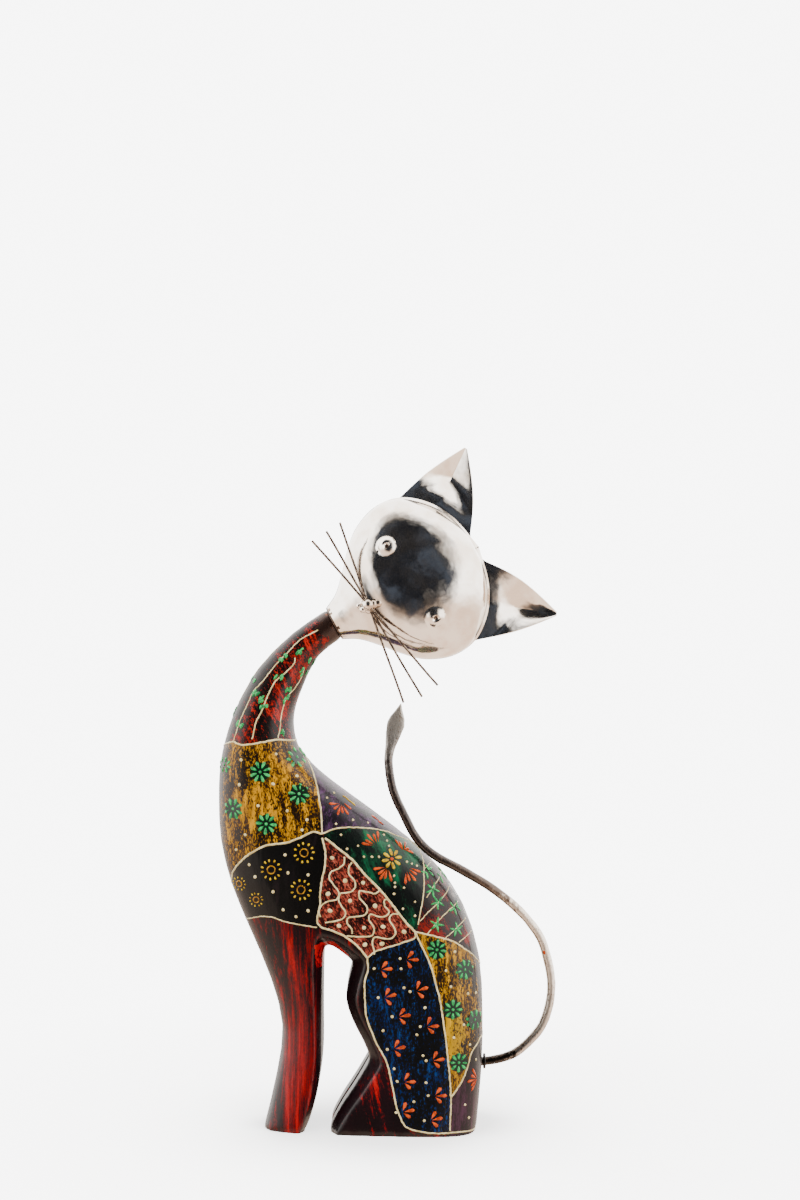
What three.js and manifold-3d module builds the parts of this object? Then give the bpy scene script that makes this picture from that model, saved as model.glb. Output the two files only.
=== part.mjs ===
// A seated cat figurine: a carved and painted wooden body, a dished sheet-metal head
// with folded ears, three wire whiskers and a bent iron rod for a tail.
// Millimetres, +Z up. The figure is seen in profile from -Y, with its tail towards +X,
// and its origin is on the flat underside of the haunches, in the figure's mid-plane.
import * as THREE from "three";
import { mergeVertices } from "three/addons/utils/BufferGeometryUtils.js";
import Module from "manifold-3d";

// Driving dimensions, in millimetres and degrees
const FIGURE_HEIGHT = 400; // ground to the tip of the upper ear
const BODY_THICKNESS = 66.4; // across the haunches, from side to side
const CLEARANCE = 0.3; // between pieces that touch
const SLEEVE_LAP = 9; // how far the wooden neck goes up inside the metal head
const HEAD_TILT = 62; // the head leans this far from upright, towards the tail
const HEAD_WALL = 1.0; // sheet of the head's two shells
const RIM_WIDTH = 2.3; // flange round the face, where the two shells are soldered together
const FACE_BULGE = 27.5; // how far the face stands out of the figure's mid-plane
const NAPE_BULGE = 17; // how far the back of the head does
const EAR_SHEET = 1.0;
const EAR_FOLD = 9; // how far an ear's crease lies behind its two edges
const EYE_DIAMETER = 11;
const EYE_RISE = 2.4;
const PUPIL_DIAMETER = 3.2;
const PUPIL_DEPTH = 1.6;
const WHISKER_DIAMETER = 1.3;
const WHISKER_LENGTH = 111.5;
const NOSE_BEAD_DIAMETER = 7; // the largest of the nose's beads of solder, which the whiskers cross in
const NOSE_COVER = 1.4; // solder over the foremost whisker
const TAIL_ROD = 5.3; // diameter of the tail's rod
const TAIL_BORE_DEPTH = 11;
const TAIL_COLLAR_DIAMETER = 9;
const TAIL_COLLAR_WIDTH = 1.4;
const TAIL_COLLAR_GAP = 0.5; // between the collar and the haunches
const LEAF_LENGTH = 31; // the flattened end of the tail
const LEAF_WIDTH = 10.8;
const LEAF_THICKNESS = 2.2;
const FRONT_SLOT_WIDTH = 4; // saw cut between the two front legs
const FRONT_SLOT_HEIGHT = 92;
const HIND_SLOT_WIDTH = 4; // saw cut between the two hind feet
const GAP_EDGE_START = 17.5; // the gap between the legs flares beyond this distance from the mid-plane
const CUT_PAST = 10; // how far a saw cut is run on past the wood
const GAP_EDGE_SLOPE = 0.5; // flare in the profile's plane for each millimetre of depth

// Mesh fineness
const BODY_SIDES = 36;
const BODY_RINGS_PER_STATION = 2;
const HEAD_SIDES = 30;
const HEAD_RINGS = 20;
const SLOT_TOP_STEPS = 6;
const PROFILE_STEPS = 2; // for each point of a sawn profile
const EAR_ROWS = 8;
const TAIL_SIDES = 10;
const TAIL_RINGS = 72;

// The figure's free form is in hundredths of its height.
const SHARE = FIGURE_HEIGHT / 100;
const across = (x, z) => new THREE.Vector3(x * SHARE, 0, z * SHARE);

// The carved body from the top of the neck to the ground. Each station runs from the chest edge
// to the back edge of the profile: chest [x, z], back [x, z], half depth near the chest and
// near the back, and squareness of its section (2 is an ellipse).
const BODY_STATIONS = [
  { chest: [-20.4, 72.4], back: [-16.4, 68.7], depth: [2.75, 2.75], squareness: 2 },
  { chest: [-25.4, 67.3], back: [-18.8, 63.7], depth: [3.6, 3.6], squareness: 2 },
  { chest: [-27.4, 64.0], back: [-19.6, 61.4], depth: [4.1, 4.1], squareness: 2 },
  { chest: [-29.1, 60.6], back: [-19.9, 59.2], depth: [4.6, 4.6], squareness: 2 },
  { chest: [-30.7, 55.3], back: [-19.2, 55.6], depth: [5.5, 5.4], squareness: 2.1 },
  { chest: [-31.2, 51.8], back: [-16.2, 52.2], depth: [6.1, 6.1], squareness: 2.2 },
  { chest: [-31.3, 48.1], back: [-12.1, 49.0], depth: [6.5, 6.9], squareness: 2.4 },
  { chest: [-31.0, 42.0], back: [-4.7, 43.5], depth: [6.9, 7.9], squareness: 2.6 },
  { chest: [-29.4, 35.5], back: [1.2, 38.1], depth: [7.1, 8.4], squareness: 2.8 },
  { chest: [-26.8, 29.2], back: [5.0, 32.5], depth: [7.0, 8.8], squareness: 3.0 },
  { chest: [-23.6, 21.7], back: [7.4, 24.9], depth: [6.8, 9.1], squareness: 3.3 },
  { chest: [-21.9, 14.9], back: [7.9, 16.7], depth: [6.5, 9.2], squareness: 3.6 },
  { chest: [-22.7, 8.1], back: [7.7, 8.6], depth: [6.1, 9.0], squareness: 3.9 },
  { chest: [-24.6, 0], back: [6.9, 0], depth: [5.8, 8.6], squareness: 4 },
];
// The deepest half depth that a station's section really reaches, between its two edges
const reachOf = ({ depth: [chest, back], squareness }) => Math.max(...Array.from({ length: 41 }, (_, i) => {
  const place = i / 20 - 1;
  const roundedOff = (1 - Math.abs(place) ** squareness) ** (1 / squareness);
  return THREE.MathUtils.lerp(chest, back, (1 + place) / 2) * roundedOff;
}));
const DEPTH_SCALE = BODY_THICKNESS / 2 / Math.max(...BODY_STATIONS.map(reachOf));

// The gap between front and hind legs, in profile: the back of the front leg going up,
// the belly, the front of the thigh down to the heel's notch, and the hind foot.
const FRONT_LEG_BACK = [
  [-18.1, 0], [-17.2, 2.2], [-16.1, 6.5], [-15.6, 11.2], [-15.6, 17.2], [-15.5, 24.7], [-15.2, 27.1],
];
const BELLY = [[-13.9, 26.5], [-11.4, 24.6]];
const THIGH_FRONT = [[-12.2, 21.4], [-12.4, 18.9], [-11.4, 15.9], [-9.9, 13.0], [-8.9, 10.6]];
const HIND_FOOT = [[-11.0, 7.0], [-12.9, 4.1], [-14.3, 1.6], [-14.9, 0]];
// The saw cut between the hind legs, in profile, from the foot's sole to the top of the thighs
const HIND_SLOT = [[-6.5, 0], [-5.8, 5], [-6.8, 10.5], [-9.4, 16], [-10.9, 20.5], [-13.2, 23.8]];

// The head in its own frame: X across the face, Z up it, -Y forwards. Its outline is
// [height, half width], from the neck to the crown, in hundredths of the figure's height.
const HEAD_CENTRE = across(-1.8, 80.2);
const HEAD_OUTLINE = [
  [-14.0, 2.55], [-11.8, 3.75], [-9.5, 6.0], [-7.4, 8.4], [-4.6, 10.9],
  [-0.6, 12.4], [3.3, 11.9], [6.7, 9.3], [8.9, 5.6], [10.2, 0],
];
const HEAD_SQUARENESS = 2.2;
const DOME_ROUNDNESS = 0.9; // under 1 the domes swell early from the neck and are fuller
const POLE_RADIUS = 0.4; // smallest ring that closes a dome
const NECK_OPENING = 2; // how far the head's hollow is cut on past the end of its neck
const EYES = [{ side: -6.3, up: -1.8 }, { side: 6.1, up: -0.4 }];
// The nose's largest bead, [sideways, up], and all its beads from there in shares of that
// bead's radius: [up, sideways, radius]
const NOSE_PLACE = [-0.1, -8.1];
const NOSE_BEADS = [
  [0, 0, 1], [0.75, 0.3, 0.86], [1.6, 0.55, 0.8], [-1.15, 0.3, 0.6], [-0.65, -0.75, 0.52], [2.5, 0.1, 0.45],
];
// Each whisker: how far it leans, how far its middle lies to the side, and its layer
// in front of the face.
const WHISKERS = [
  { lean: 13, shift: 1.45, layer: 2 },
  { lean: 2, shift: 1.5, layer: 1 },
  { lean: -8.5, shift: 1.15, layer: 0 },
];
// An ear's feet and the foot of its crease, [sideways, up], and for each ear its side, its tip
// and how far its outer and inner edges swell
const TIP_FOLD_SHARE = 0.35; // of the fold's depth, left at the tip
const EAR_ROOT_SHARE = 0.22; // of an ear's length, run on into the head before it is cut
const BLUNT_TIP = 0.985; // share of its length at which an ear ends
const EAR_FEET = { outer: [12.0, 3.6], crease: [8.4, 8.1], inner: [2.4, 10.1] };
const EARS = {
  ear_upper: { side: -1, tip: [14.05, 15.7], swell: [0.1, 0, 0.14] },
  ear_lower: { side: 1, tip: [14.4, 16.1], swell: [0.09, 0, 0.17] },
};

// The tail's line from the haunches round and up to the leaf's tip, after the straight
// start in its bore: [x, z, y] in hundredths of the figure's height. It leans a little
// towards the side that is seen.
const TAIL_ROOT = across(BODY_STATIONS.at(-2).back[0], 9.2);
const TAIL_LINE = [
  [12.17, 10.19, 0.00], [14.90, 12.40, 0.00], [16.52, 14.46, 0.00], [17.54, 17.44, -0.12],
  [17.87, 20.41, -0.25], [17.48, 23.41, -0.50], [16.22, 27.47, -1.00], [14.47, 30.06, -1.50],
  [12.42, 32.27, -2.00], [10.19, 34.17, -2.50], [7.98, 35.78, -3.00], [4.31, 37.97, -3.50],
  [0.67, 39.97, -3.75], [-1.81, 42.24, -3.88], [-3.84, 45.88, -3.88], [-5.44, 49.50, -3.75],
  [-6.07, 53.12, -3.50], [-6.00, 54.93, -3.38], [-5.15, 58.55, -3.12], [-4.29, 62.05, -3.00],
];

// Half width along the leaf from its tip: [share of the leaf's length, share of its half width]
const LEAF_OUTLINE = [[0, 0.06], [0.12, 0.36], [0.28, 0.86], [0.42, 1], [0.58, 0.88], [0.8, 0.6], [1, 0.49]];
// The rod is beaten down to the leaf's thickness between these shares of its length
const LEAF_BEATEN = [0.5, 1.3];

const WOOD = new THREE.MeshStandardMaterial({ color: 0x3b1512, roughness: 0.3, metalness: 0 });
const NICKEL = new THREE.MeshStandardMaterial({ color: 0xd6cec4, roughness: 0.15, metalness: 1 });
const IRON = new THREE.MeshStandardMaterial({ color: 0x6e6258, roughness: 0.35, metalness: 1 });

const wasm = await Module();
wasm.setup();

// A closed three.js geometry as a manifold-3d solid
function solidFrom(geometry) {
  const bare = geometry.index ? geometry.toNonIndexed() : geometry;
  bare.deleteAttribute("normal");
  bare.deleteAttribute("uv");
  const merged = mergeVertices(bare, 1e-3);
  return new wasm.Manifold(new wasm.Mesh({
    numProp: 3,
    vertProperties: new Float32Array(merged.attributes.position.array),
    triVerts: new Uint32Array(merged.index.array),
  }));
}

// A manifold-3d solid as a named mesh
function meshFrom(solid, name, material) {
  const { vertProperties, triVerts } = solid.getMesh();
  const geometry = new THREE.BufferGeometry();
  geometry.setAttribute("position", new THREE.BufferAttribute(vertProperties, 3));
  geometry.setIndex(new THREE.BufferAttribute(triVerts, 1));
  geometry.computeVertexNormals();
  const mesh = new THREE.Mesh(geometry, material);
  mesh.name = name;
  return mesh;
}

// One ring of a loft: points round a section that spans `side` and the Y axis.
// depthAt gives the half depth for a place across the section (-1 to 1) and a side of it.
function sectionRing({ centre, side, halfWidth, depthAt, squareness, sides }) {
  const power = 2 / squareness;
  const rounded = (v) => Math.sign(v) * Math.abs(v) ** power;
  return Array.from({ length: sides }, (_, i) => {
    const angle = (i / sides) * 2 * Math.PI;
    const place = rounded(Math.cos(angle));
    const out = rounded(Math.sin(angle));
    return centre.clone()
      .addScaledVector(side, place * halfWidth)
      .add(new THREE.Vector3(0, out * depthAt(place, Math.sign(out)), 0));
  });
}

// A solid through a row of rings with equal counts, closed with a fan at each end
function loft(rings) {
  const count = rings[0].length;
  const points = rings.flat();
  const faces = [];
  for (let r = 0; r + 1 < rings.length; r++) {
    for (let i = 0; i < count; i++) {
      const j = (i + 1) % count;
      const [a, b, c, d] = [r * count + i, r * count + j, (r + 1) * count + j, (r + 1) * count + i];
      faces.push(a, b, c, a, c, d);
    }
  }
  const last = (rings.length - 1) * count;
  [0, last].forEach((start) => {
    const middle = new THREE.Vector3();
    points.slice(start, start + count).forEach((p) => middle.addScaledVector(p, 1 / count));
    points.push(middle);
    for (let i = 0; i < count; i++) {
      const edge = [start + i, start + ((i + 1) % count)];
      faces.push(points.length - 1, ...(start ? edge : edge.reverse()));
    }
  });
  const signedVolume = (f) => {
    let sum = 0;
    for (let i = 0; i < f.length; i += 3) {
      sum += points[f[i]].dot(points[f[i + 1]].clone().cross(points[f[i + 2]]));
    }
    return sum;
  };
  const outward = signedVolume(faces) > 0 ? faces : faces.reverse();
  const geometry = new THREE.BufferGeometry().setFromPoints(points);
  geometry.setIndex(outward);
  return solidFrom(geometry);
}

// A flat profile in the figure's X-Z plane, made solid along Y between two distances
function profileSolid(shape, fromY, toY, flare = 0) {
  const depth = toY - fromY;
  const geometry = new THREE.ExtrudeGeometry(shape, {
    depth,
    bevelEnabled: flare > 0,
    bevelThickness: flare,
    bevelSize: flare * GAP_EDGE_SLOPE,
    bevelSegments: 1,
    curveSegments: PROFILE_STEPS,
  });
  geometry.rotateX(Math.PI / 2).translate(0, toY, 0);
  return solidFrom(geometry);
}

// The head's frame, as directions in the figure's own frame
const headTurn = new THREE.Euler(0, THREE.MathUtils.degToRad(HEAD_TILT), 0);
const headUp = new THREE.Vector3(0, 0, 1).applyEuler(headTurn);
const headSide = new THREE.Vector3(1, 0, 0).applyEuler(headTurn);
const [NECK_END, NECK_HALF_WIDTH] = HEAD_OUTLINE[0].map((v) => v * SHARE);

// The rings of the wooden neck's top: the plug inside the head, and the shoulder under its rim
function neckTopRings() {
  const ringAt = (height, radius) => sectionRing({
    centre: HEAD_CENTRE.clone().addScaledVector(headUp, height),
    side: headSide,
    halfWidth: radius,
    depthAt: () => radius,
    squareness: 2,
    sides: BODY_SIDES,
  });
  const plugRadius = NECK_HALF_WIDTH - HEAD_WALL - CLEARANCE;
  const shoulder = NECK_END - CLEARANCE;
  return [
    ringAt(NECK_END + SLEEVE_LAP, plugRadius),
    ringAt(shoulder, plugRadius),
    ringAt(shoulder, NECK_HALF_WIDTH),
  ];
}

// The body's carved outside, before the legs are cut apart
function carvedBlock() {
  const [, , shoulderRing] = neckTopRings();
  const shoulderCentre = HEAD_CENTRE.clone().addScaledVector(headUp, NECK_END - CLEARANCE);
  const ends = [-1, 1].map((sign) => (
    shoulderCentre.clone().addScaledVector(headSide, sign * NECK_HALF_WIDTH)
  ));
  const chest = new THREE.CatmullRomCurve3([ends[0], ...BODY_STATIONS.map((s) => across(...s.chest))]);
  const back = new THREE.CatmullRomCurve3([ends[1], ...BODY_STATIONS.map((s) => across(...s.back))]);
  const neckDepth = NECK_HALF_WIDTH / DEPTH_SCALE;
  const girth = new THREE.CatmullRomCurve3([
    new THREE.Vector3(neckDepth, neckDepth, 2),
    ...BODY_STATIONS.map((s) => new THREE.Vector3(...s.depth, s.squareness)),
  ]);
  const count = BODY_STATIONS.length * BODY_RINGS_PER_STATION;
  const rings = Array.from({ length: count }, (_, i) => {
    const t = (i + 1) / count;
    const [from, to, shape] = [chest.getPoint(t), back.getPoint(t), girth.getPoint(t)];
    const [chestDepth, backDepth] = [shape.x * DEPTH_SCALE, shape.y * DEPTH_SCALE];
    return sectionRing({
      centre: from.clone().lerp(to, 0.5),
      side: to.clone().sub(from).normalize(),
      halfWidth: from.distanceTo(to) / 2,
      depthAt: (place) => THREE.MathUtils.lerp(chestDepth, backDepth, (1 + place) / 2),
      squareness: shape.z,
      sides: BODY_SIDES,
    });
  });
  return loft([...neckTopRings().slice(0, 2), shoulderRing, ...rings]);
}

// The gap between the front and hind legs, with its flared edges on both sides
function legGap() {
  const point = ([x, z]) => new THREE.Vector2(x * SHARE, z * SHARE);
  const shape = new THREE.Shape();
  const start = point(FRONT_LEG_BACK[0]);
  shape.moveTo(start.x, -CUT_PAST);
  shape.lineTo(start.x, start.y);
  shape.splineThru(FRONT_LEG_BACK.slice(1).map(point));
  shape.splineThru(BELLY.map(point));
  shape.splineThru(THIGH_FRONT.map(point));
  shape.splineThru(HIND_FOOT.map(point));
  shape.lineTo(point(HIND_FOOT.at(-1)).x, -CUT_PAST);
  const outside = BODY_THICKNESS;
  const flare = outside - GAP_EDGE_START;
  return profileSolid(shape, -outside, outside)
    .add(profileSolid(shape, GAP_EDGE_START + flare, outside + flare, flare))
    .add(profileSolid(shape, -outside - flare, -GAP_EDGE_START - flare, flare));
}

// The saw cut between the front legs, as a slot with a round top that runs along X
function frontSlot() {
  const half = FRONT_SLOT_WIDTH / 2;
  const shape = new THREE.Shape();
  shape.moveTo(-half, -CUT_PAST);
  shape.lineTo(half, -CUT_PAST);
  shape.lineTo(half, FRONT_SLOT_HEIGHT - half);
  shape.absarc(0, FRONT_SLOT_HEIGHT - half, half, 0, Math.PI, false);
  const from = Math.min(...BODY_STATIONS.map((s) => s.chest[0])) * SHARE;
  const to = FRONT_LEG_BACK[3][0] * SHARE + GAP_EDGE_START / 4;
  const geometry = new THREE.ExtrudeGeometry(shape, {
    depth: to - from,
    bevelEnabled: false,
    curveSegments: SLOT_TOP_STEPS,
  });
  const turn = new THREE.Matrix4().makeBasis(
    new THREE.Vector3(0, 1, 0), new THREE.Vector3(0, 0, 1), new THREE.Vector3(1, 0, 0),
  );
  geometry.applyMatrix4(turn).translate(from, 0, 0);
  return solidFrom(geometry);
}

// The saw cut between the hind feet and a short way up between the thighs
function hindSlot() {
  const points = HIND_SLOT.map(([x, z]) => new THREE.Vector2(x * SHARE, z * SHARE));
  const front = FRONT_LEG_BACK[3][0] * SHARE;
  const shape = new THREE.Shape();
  shape.moveTo(front, -CUT_PAST);
  shape.lineTo(points[0].x, -CUT_PAST);
  shape.lineTo(points[0].x, points[0].y);
  shape.splineThru(points.slice(1));
  shape.lineTo(front, points.at(-1).y);
  return profileSolid(shape, -HIND_SLOT_WIDTH / 2, HIND_SLOT_WIDTH / 2);
}

// The bore in the haunches that the tail's rod goes into
function tailBore() {
  const geometry = new THREE.CylinderGeometry(
    TAIL_ROD / 2 + CLEARANCE, TAIL_ROD / 2 + CLEARANCE, 2 * (TAIL_BORE_DEPTH + CLEARANCE), 16,
  );
  geometry.rotateZ(Math.PI / 2).translate(...TAIL_ROOT.toArray());
  return solidFrom(geometry);
}

function buildBody() {
  return carvedBlock().subtract(legGap()).subtract(frontSlot()).subtract(hindSlot()).subtract(tailBore());
}

// The head's outline and bulge at a share t of the way from neck to crown
const headCurve = new THREE.CatmullRomCurve3(
  HEAD_OUTLINE.map(([up, half]) => new THREE.Vector3(half * SHARE, 0, up * SHARE)),
);
const widestHalf = Math.max(...HEAD_OUTLINE.map(([, half]) => half)) * SHARE;
function headSectionAt(t) {
  const p = headCurve.getPointAt(t);
  const half = Math.max(p.x, 0);
  const fullness = THREE.MathUtils.clamp((half - NECK_HALF_WIDTH) / (widestHalf - NECK_HALF_WIDTH), 0, 1);
  const bulge = (most) => (
    Math.min(half, THREE.MathUtils.lerp(NECK_HALF_WIDTH, most, fullness ** DOME_ROUNDNESS))
  );
  const rim = RIM_WIDTH * THREE.MathUtils.smoothstep(p.z, headCurve.points[0].z, headCurve.points[1].z);
  return { up: p.z, half, rim: Math.min(rim, half), front: bulge(FACE_BULGE), nape: bulge(NAPE_BULGE) };
}

// The head's two domes as one solid, grown or shrunk all over by `offset`, with its neck end
// moved down by `lower`. They stand inside the head's outline by the rim's width.
function headSolid(offset, lower) {
  const rings = Array.from({ length: HEAD_RINGS + 1 }, (_, i) => {
    const s = headSectionAt(Math.sin((i / HEAD_RINGS) * (Math.PI / 2)));
    const grown = (v) => Math.max(v + offset, POLE_RADIUS);
    const height = i === 0 ? s.up - lower : s.up + (offset - RIM_WIDTH) * (i / HEAD_RINGS) ** 3;
    return sectionRing({
      centre: new THREE.Vector3(0, 0, height),
      side: new THREE.Vector3(1, 0, 0),
      halfWidth: grown(s.half - s.rim),
      depthAt: (_, sign) => grown(sign < 0 ? s.front : s.nape),
      squareness: HEAD_SQUARENESS,
      sides: HEAD_SIDES,
    });
  });
  return loft(rings);
}

// Everything on one side of the head's seam: -1 is the face's side, 1 is the nape's
function seamSide(sign) {
  const reach = 2 * widestHalf;
  const middle = sign * (reach + CLEARANCE / 2);
  return solidFrom(new THREE.BoxGeometry(4 * reach, 2 * reach, 4 * reach).translate(0, middle, 0));
}

// The flat flange round the face, out to the head's outline
function rimSolid() {
  const half = headCurve.getSpacedPoints(HEAD_RINGS * 2);
  const outline = [...half, ...half.slice(0, -1).reverse().map((p) => p.clone().setX(-p.x))];
  const shape = new THREE.Shape(outline.map((p) => new THREE.Vector2(p.x, p.z)));
  return profileSolid(shape, -CLEARANCE / 2 - HEAD_WALL, -CLEARANCE / 2);
}

// The face's depth (along -Y) at a place on it, from the section at that height
function faceDepth(side, up) {
  let [low, high] = [0, 1];
  for (let i = 0; i < 30; i++) {
    const middle = (low + high) / 2;
    if (headSectionAt(middle).up < up) low = middle;
    else high = middle;
  }
  const s = headSectionAt(low);
  const inside = 1 - Math.abs(side / s.half) ** HEAD_SQUARENESS;
  return inside > 0 ? s.front * inside ** (1 / HEAD_SQUARENESS) : 0;
}

// An eye pressed out of the sheet: a low dome with a round dimple, facing along the face's normal
function eyeBoss({ side, up }) {
  const [x, z] = [side * SHARE, up * SHARE];
  const step = 1;
  const slopeX = (faceDepth(x + step, z) - faceDepth(x - step, z)) / (2 * step);
  const slopeZ = (faceDepth(x, z + step) - faceDepth(x, z - step)) / (2 * step);
  const radius = EYE_DIAMETER / 2;
  const pupil = PUPIL_DIAMETER / 2;
  const sink = HEAD_WALL * 1.5;
  const dome = new THREE.QuadraticBezierCurve(
    new THREE.Vector2(radius, 0),
    new THREE.Vector2(radius * 0.75, EYE_RISE),
    new THREE.Vector2(pupil, EYE_RISE),
  );
  const profile = [
    new THREE.Vector2(0, -sink),
    new THREE.Vector2(radius, -sink),
    ...dome.getPoints(4),
    new THREE.Vector2(pupil * 0.7, EYE_RISE - PUPIL_DEPTH),
    new THREE.Vector2(0, EYE_RISE - PUPIL_DEPTH),
  ];
  const geometry = new THREE.LatheGeometry(profile, 16);
  const outward = new THREE.Vector3(slopeX, 1, slopeZ).multiply(new THREE.Vector3(-1, -1, -1)).normalize();
  geometry.applyQuaternion(new THREE.Quaternion().setFromUnitVectors(new THREE.Vector3(0, 1, 0), outward));
  geometry.translate(x, -faceDepth(x, z), z);
  return solidFrom(geometry);
}

const buildHollow = () => headSolid(-HEAD_WALL, NECK_OPENING);

function buildHeadFront() {
  const dome = headSolid(0, 0).intersect(seamSide(-1)).add(rimSolid());
  return EYES.reduce((face, eye) => face.add(eyeBoss(eye)), dome).subtract(buildHollow());
}

function buildHeadBack() {
  return headSolid(0, 0).intersect(seamSide(1)).subtract(buildHollow());
}

// A folded ear: a V of sheet whose crease lies behind its edges, cut to sit on the head
function buildEar({ side, tip: tipPlace, swell }) {
  const at = ([x, z], y) => new THREE.Vector3(side * x * SHARE, CLEARANCE / 2 + y, z * SHARE);
  const tip = at(tipPlace, EAR_FOLD * TIP_FOLD_SHARE);
  const edges = [at(EAR_FEET.outer, 0), at(EAR_FEET.crease, EAR_FOLD), at(EAR_FEET.inner, 0)];
  const rings = Array.from({ length: EAR_ROWS + 1 }, (_, i) => {
    const t = THREE.MathUtils.lerp(-EAR_ROOT_SHARE, 1, i / EAR_ROWS);
    const near = Math.min(t, BLUNT_TIP);
    const row = edges.map((edge, k) => {
      const belly = Math.sin(Math.PI * Math.max(near, 0)) * swell[k];
      const outward = edge.clone().sub(edges[1]).setY(0);
      const depth = THREE.MathUtils.lerp(edge.y, tip.y, Math.max(near, 0));
      return edge.clone().lerp(tip, near).addScaledVector(outward, belly).setY(depth);
    });
    const behind = row.map((p) => p.clone().add(new THREE.Vector3(0, EAR_SHEET, 0))).reverse();
    return [...row, ...behind];
  });
  return loft(rings).subtract(headSolid(CLEARANCE, 0));
}

// The whiskers cross in layers inside the nose's largest bead
const [noseX, noseZ] = NOSE_PLACE.map((v) => v * SHARE);
const noseDepth = faceDepth(noseX, noseZ);
const whiskerPitch = WHISKER_DIAMETER + CLEARANCE;
const whiskerDepth = (layer) => noseDepth + CLEARANCE + WHISKER_DIAMETER / 2 + layer * whiskerPitch;
function whiskerSolid({ lean, shift, layer }, extra) {
  const radius = WHISKER_DIAMETER / 2 + extra;
  const geometry = new THREE.CylinderGeometry(radius, radius, WHISKER_LENGTH, 10);
  const turn = THREE.MathUtils.degToRad(lean);
  geometry.rotateZ(Math.PI / 2).translate(shift * SHARE, 0, 0).rotateY(-turn);
  geometry.translate(0, -whiskerDepth(layer), noseZ);
  return solidFrom(geometry);
}

// The nose: solder beads round the crossing of the whiskers, with a way cut through for each
function buildNose() {
  const largest = NOSE_BEAD_DIAMETER / 2;
  const front = noseDepth + WHISKERS.length * whiskerPitch + NOSE_COVER;
  const sunk = 1.2; // how much deeper a smaller bead lies, in shares of what its radius is less
  const lump = NOSE_BEADS.map(([up, sideways, size]) => {
    const geometry = new THREE.SphereGeometry(size * largest, 10, 7);
    const depth = front - largest - (1 - size) * largest * sunk;
    return solidFrom(geometry.translate(noseX + sideways * largest, -depth, noseZ + up * largest));
  }).reduce((sum, bead) => sum.add(bead));
  const cut = WHISKERS.map((w) => whiskerSolid(w, CLEARANCE)).reduce((sum, w) => sum.add(w));
  return lump.subtract(cut).subtract(headSolid(CLEARANCE, 0));
}

// The tail: a rod bent in the figure's mid-plane, beaten flat into a leaf at its tip
function buildTail() {
  const inBore = [-TAIL_BORE_DEPTH, -TAIL_BORE_DEPTH / 2, TAIL_ROD / 2];
  const start = inBore.map((x) => TAIL_ROOT.clone().setX(TAIL_ROOT.x + x));
  const bent = TAIL_LINE.map(([x, z, y]) => across(x, z).setY(y * SHARE));
  const line = new THREE.CatmullRomCurve3([...start, ...bent]);
  line.arcLengthDivisions = 600;
  const length = line.getLength();
  const rod = TAIL_ROD / 2;
  const leafHalf = (t) => {
    const k = Math.max(1, LEAF_OUTLINE.findIndex(([place]) => place >= t));
    const [[p0, w0], [p1, w1]] = [LEAF_OUTLINE[k - 1], LEAF_OUTLINE[k]];
    return THREE.MathUtils.lerp(w0, w1, (t - p0) / (p1 - p0)) * LEAF_WIDTH / 2;
  };
  const rings = Array.from({ length: TAIL_RINGS + 1 }, (_, i) => {
    const u = i / TAIL_RINGS;
    const tangent = line.getTangentAt(u);
    const toTip = (1 - u) * length / LEAF_LENGTH;
    const halfWidth = toTip < 1 ? leafHalf(toTip) : rod;
    const flat = 1 - THREE.MathUtils.smoothstep(toTip, ...LEAF_BEATEN);
    const halfDepth = THREE.MathUtils.lerp(rod, LEAF_THICKNESS / 2, flat);
    return sectionRing({
      centre: line.getPointAt(u),
      side: new THREE.Vector3(-tangent.z, 0, tangent.x).normalize(),
      halfWidth,
      depthAt: () => halfDepth,
      squareness: 2,
      sides: TAIL_SIDES,
    });
  });
  const collarRadius = TAIL_COLLAR_DIAMETER / 2;
  const collar = new THREE.CylinderGeometry(collarRadius, collarRadius, TAIL_COLLAR_WIDTH, 20);
  collar.rotateZ(Math.PI / 2).translate(TAIL_COLLAR_GAP + TAIL_COLLAR_WIDTH / 2, 0, 0);
  collar.translate(...TAIL_ROOT.toArray());
  return loft(rings).add(solidFrom(collar));
}

const cat = new THREE.Group();
cat.add(meshFrom(buildBody(), "body", WOOD));
cat.add(meshFrom(buildTail(), "tail", IRON));
const head = new THREE.Group();
head.position.copy(HEAD_CENTRE);
head.rotation.copy(headTurn);
head.add(meshFrom(buildHeadFront(), "head_front", NICKEL));
head.add(meshFrom(buildHeadBack(), "head_back", NICKEL));
Object.entries(EARS).forEach(([name, ear]) => head.add(meshFrom(buildEar(ear), name, NICKEL)));
WHISKERS.forEach((w, i) => head.add(meshFrom(whiskerSolid(w, 0), `whisker_${i + 1}`, NICKEL)));
head.add(meshFrom(buildNose(), "nose", NICKEL));
cat.add(head);
export default cat;
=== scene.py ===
"""A seated cat figurine: painted wooden body, bright nickel head and whiskers, bent iron tail.

The figure is seen in profile from -Y with its tail towards +X, and stands on the plane z = 0.
Lengths in the data and in the size fields are millimetres. Everything that is built is metres.
"""

import logging
import math
import random
from dataclasses import dataclass
from enum import IntEnum, StrEnum
from typing import Iterable, Sequence

import bmesh
import bpy
import numpy as np
from mathutils import Matrix, Vector
from mathutils.bvhtree import BVHTree
from mathutils.noise import noise

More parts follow.
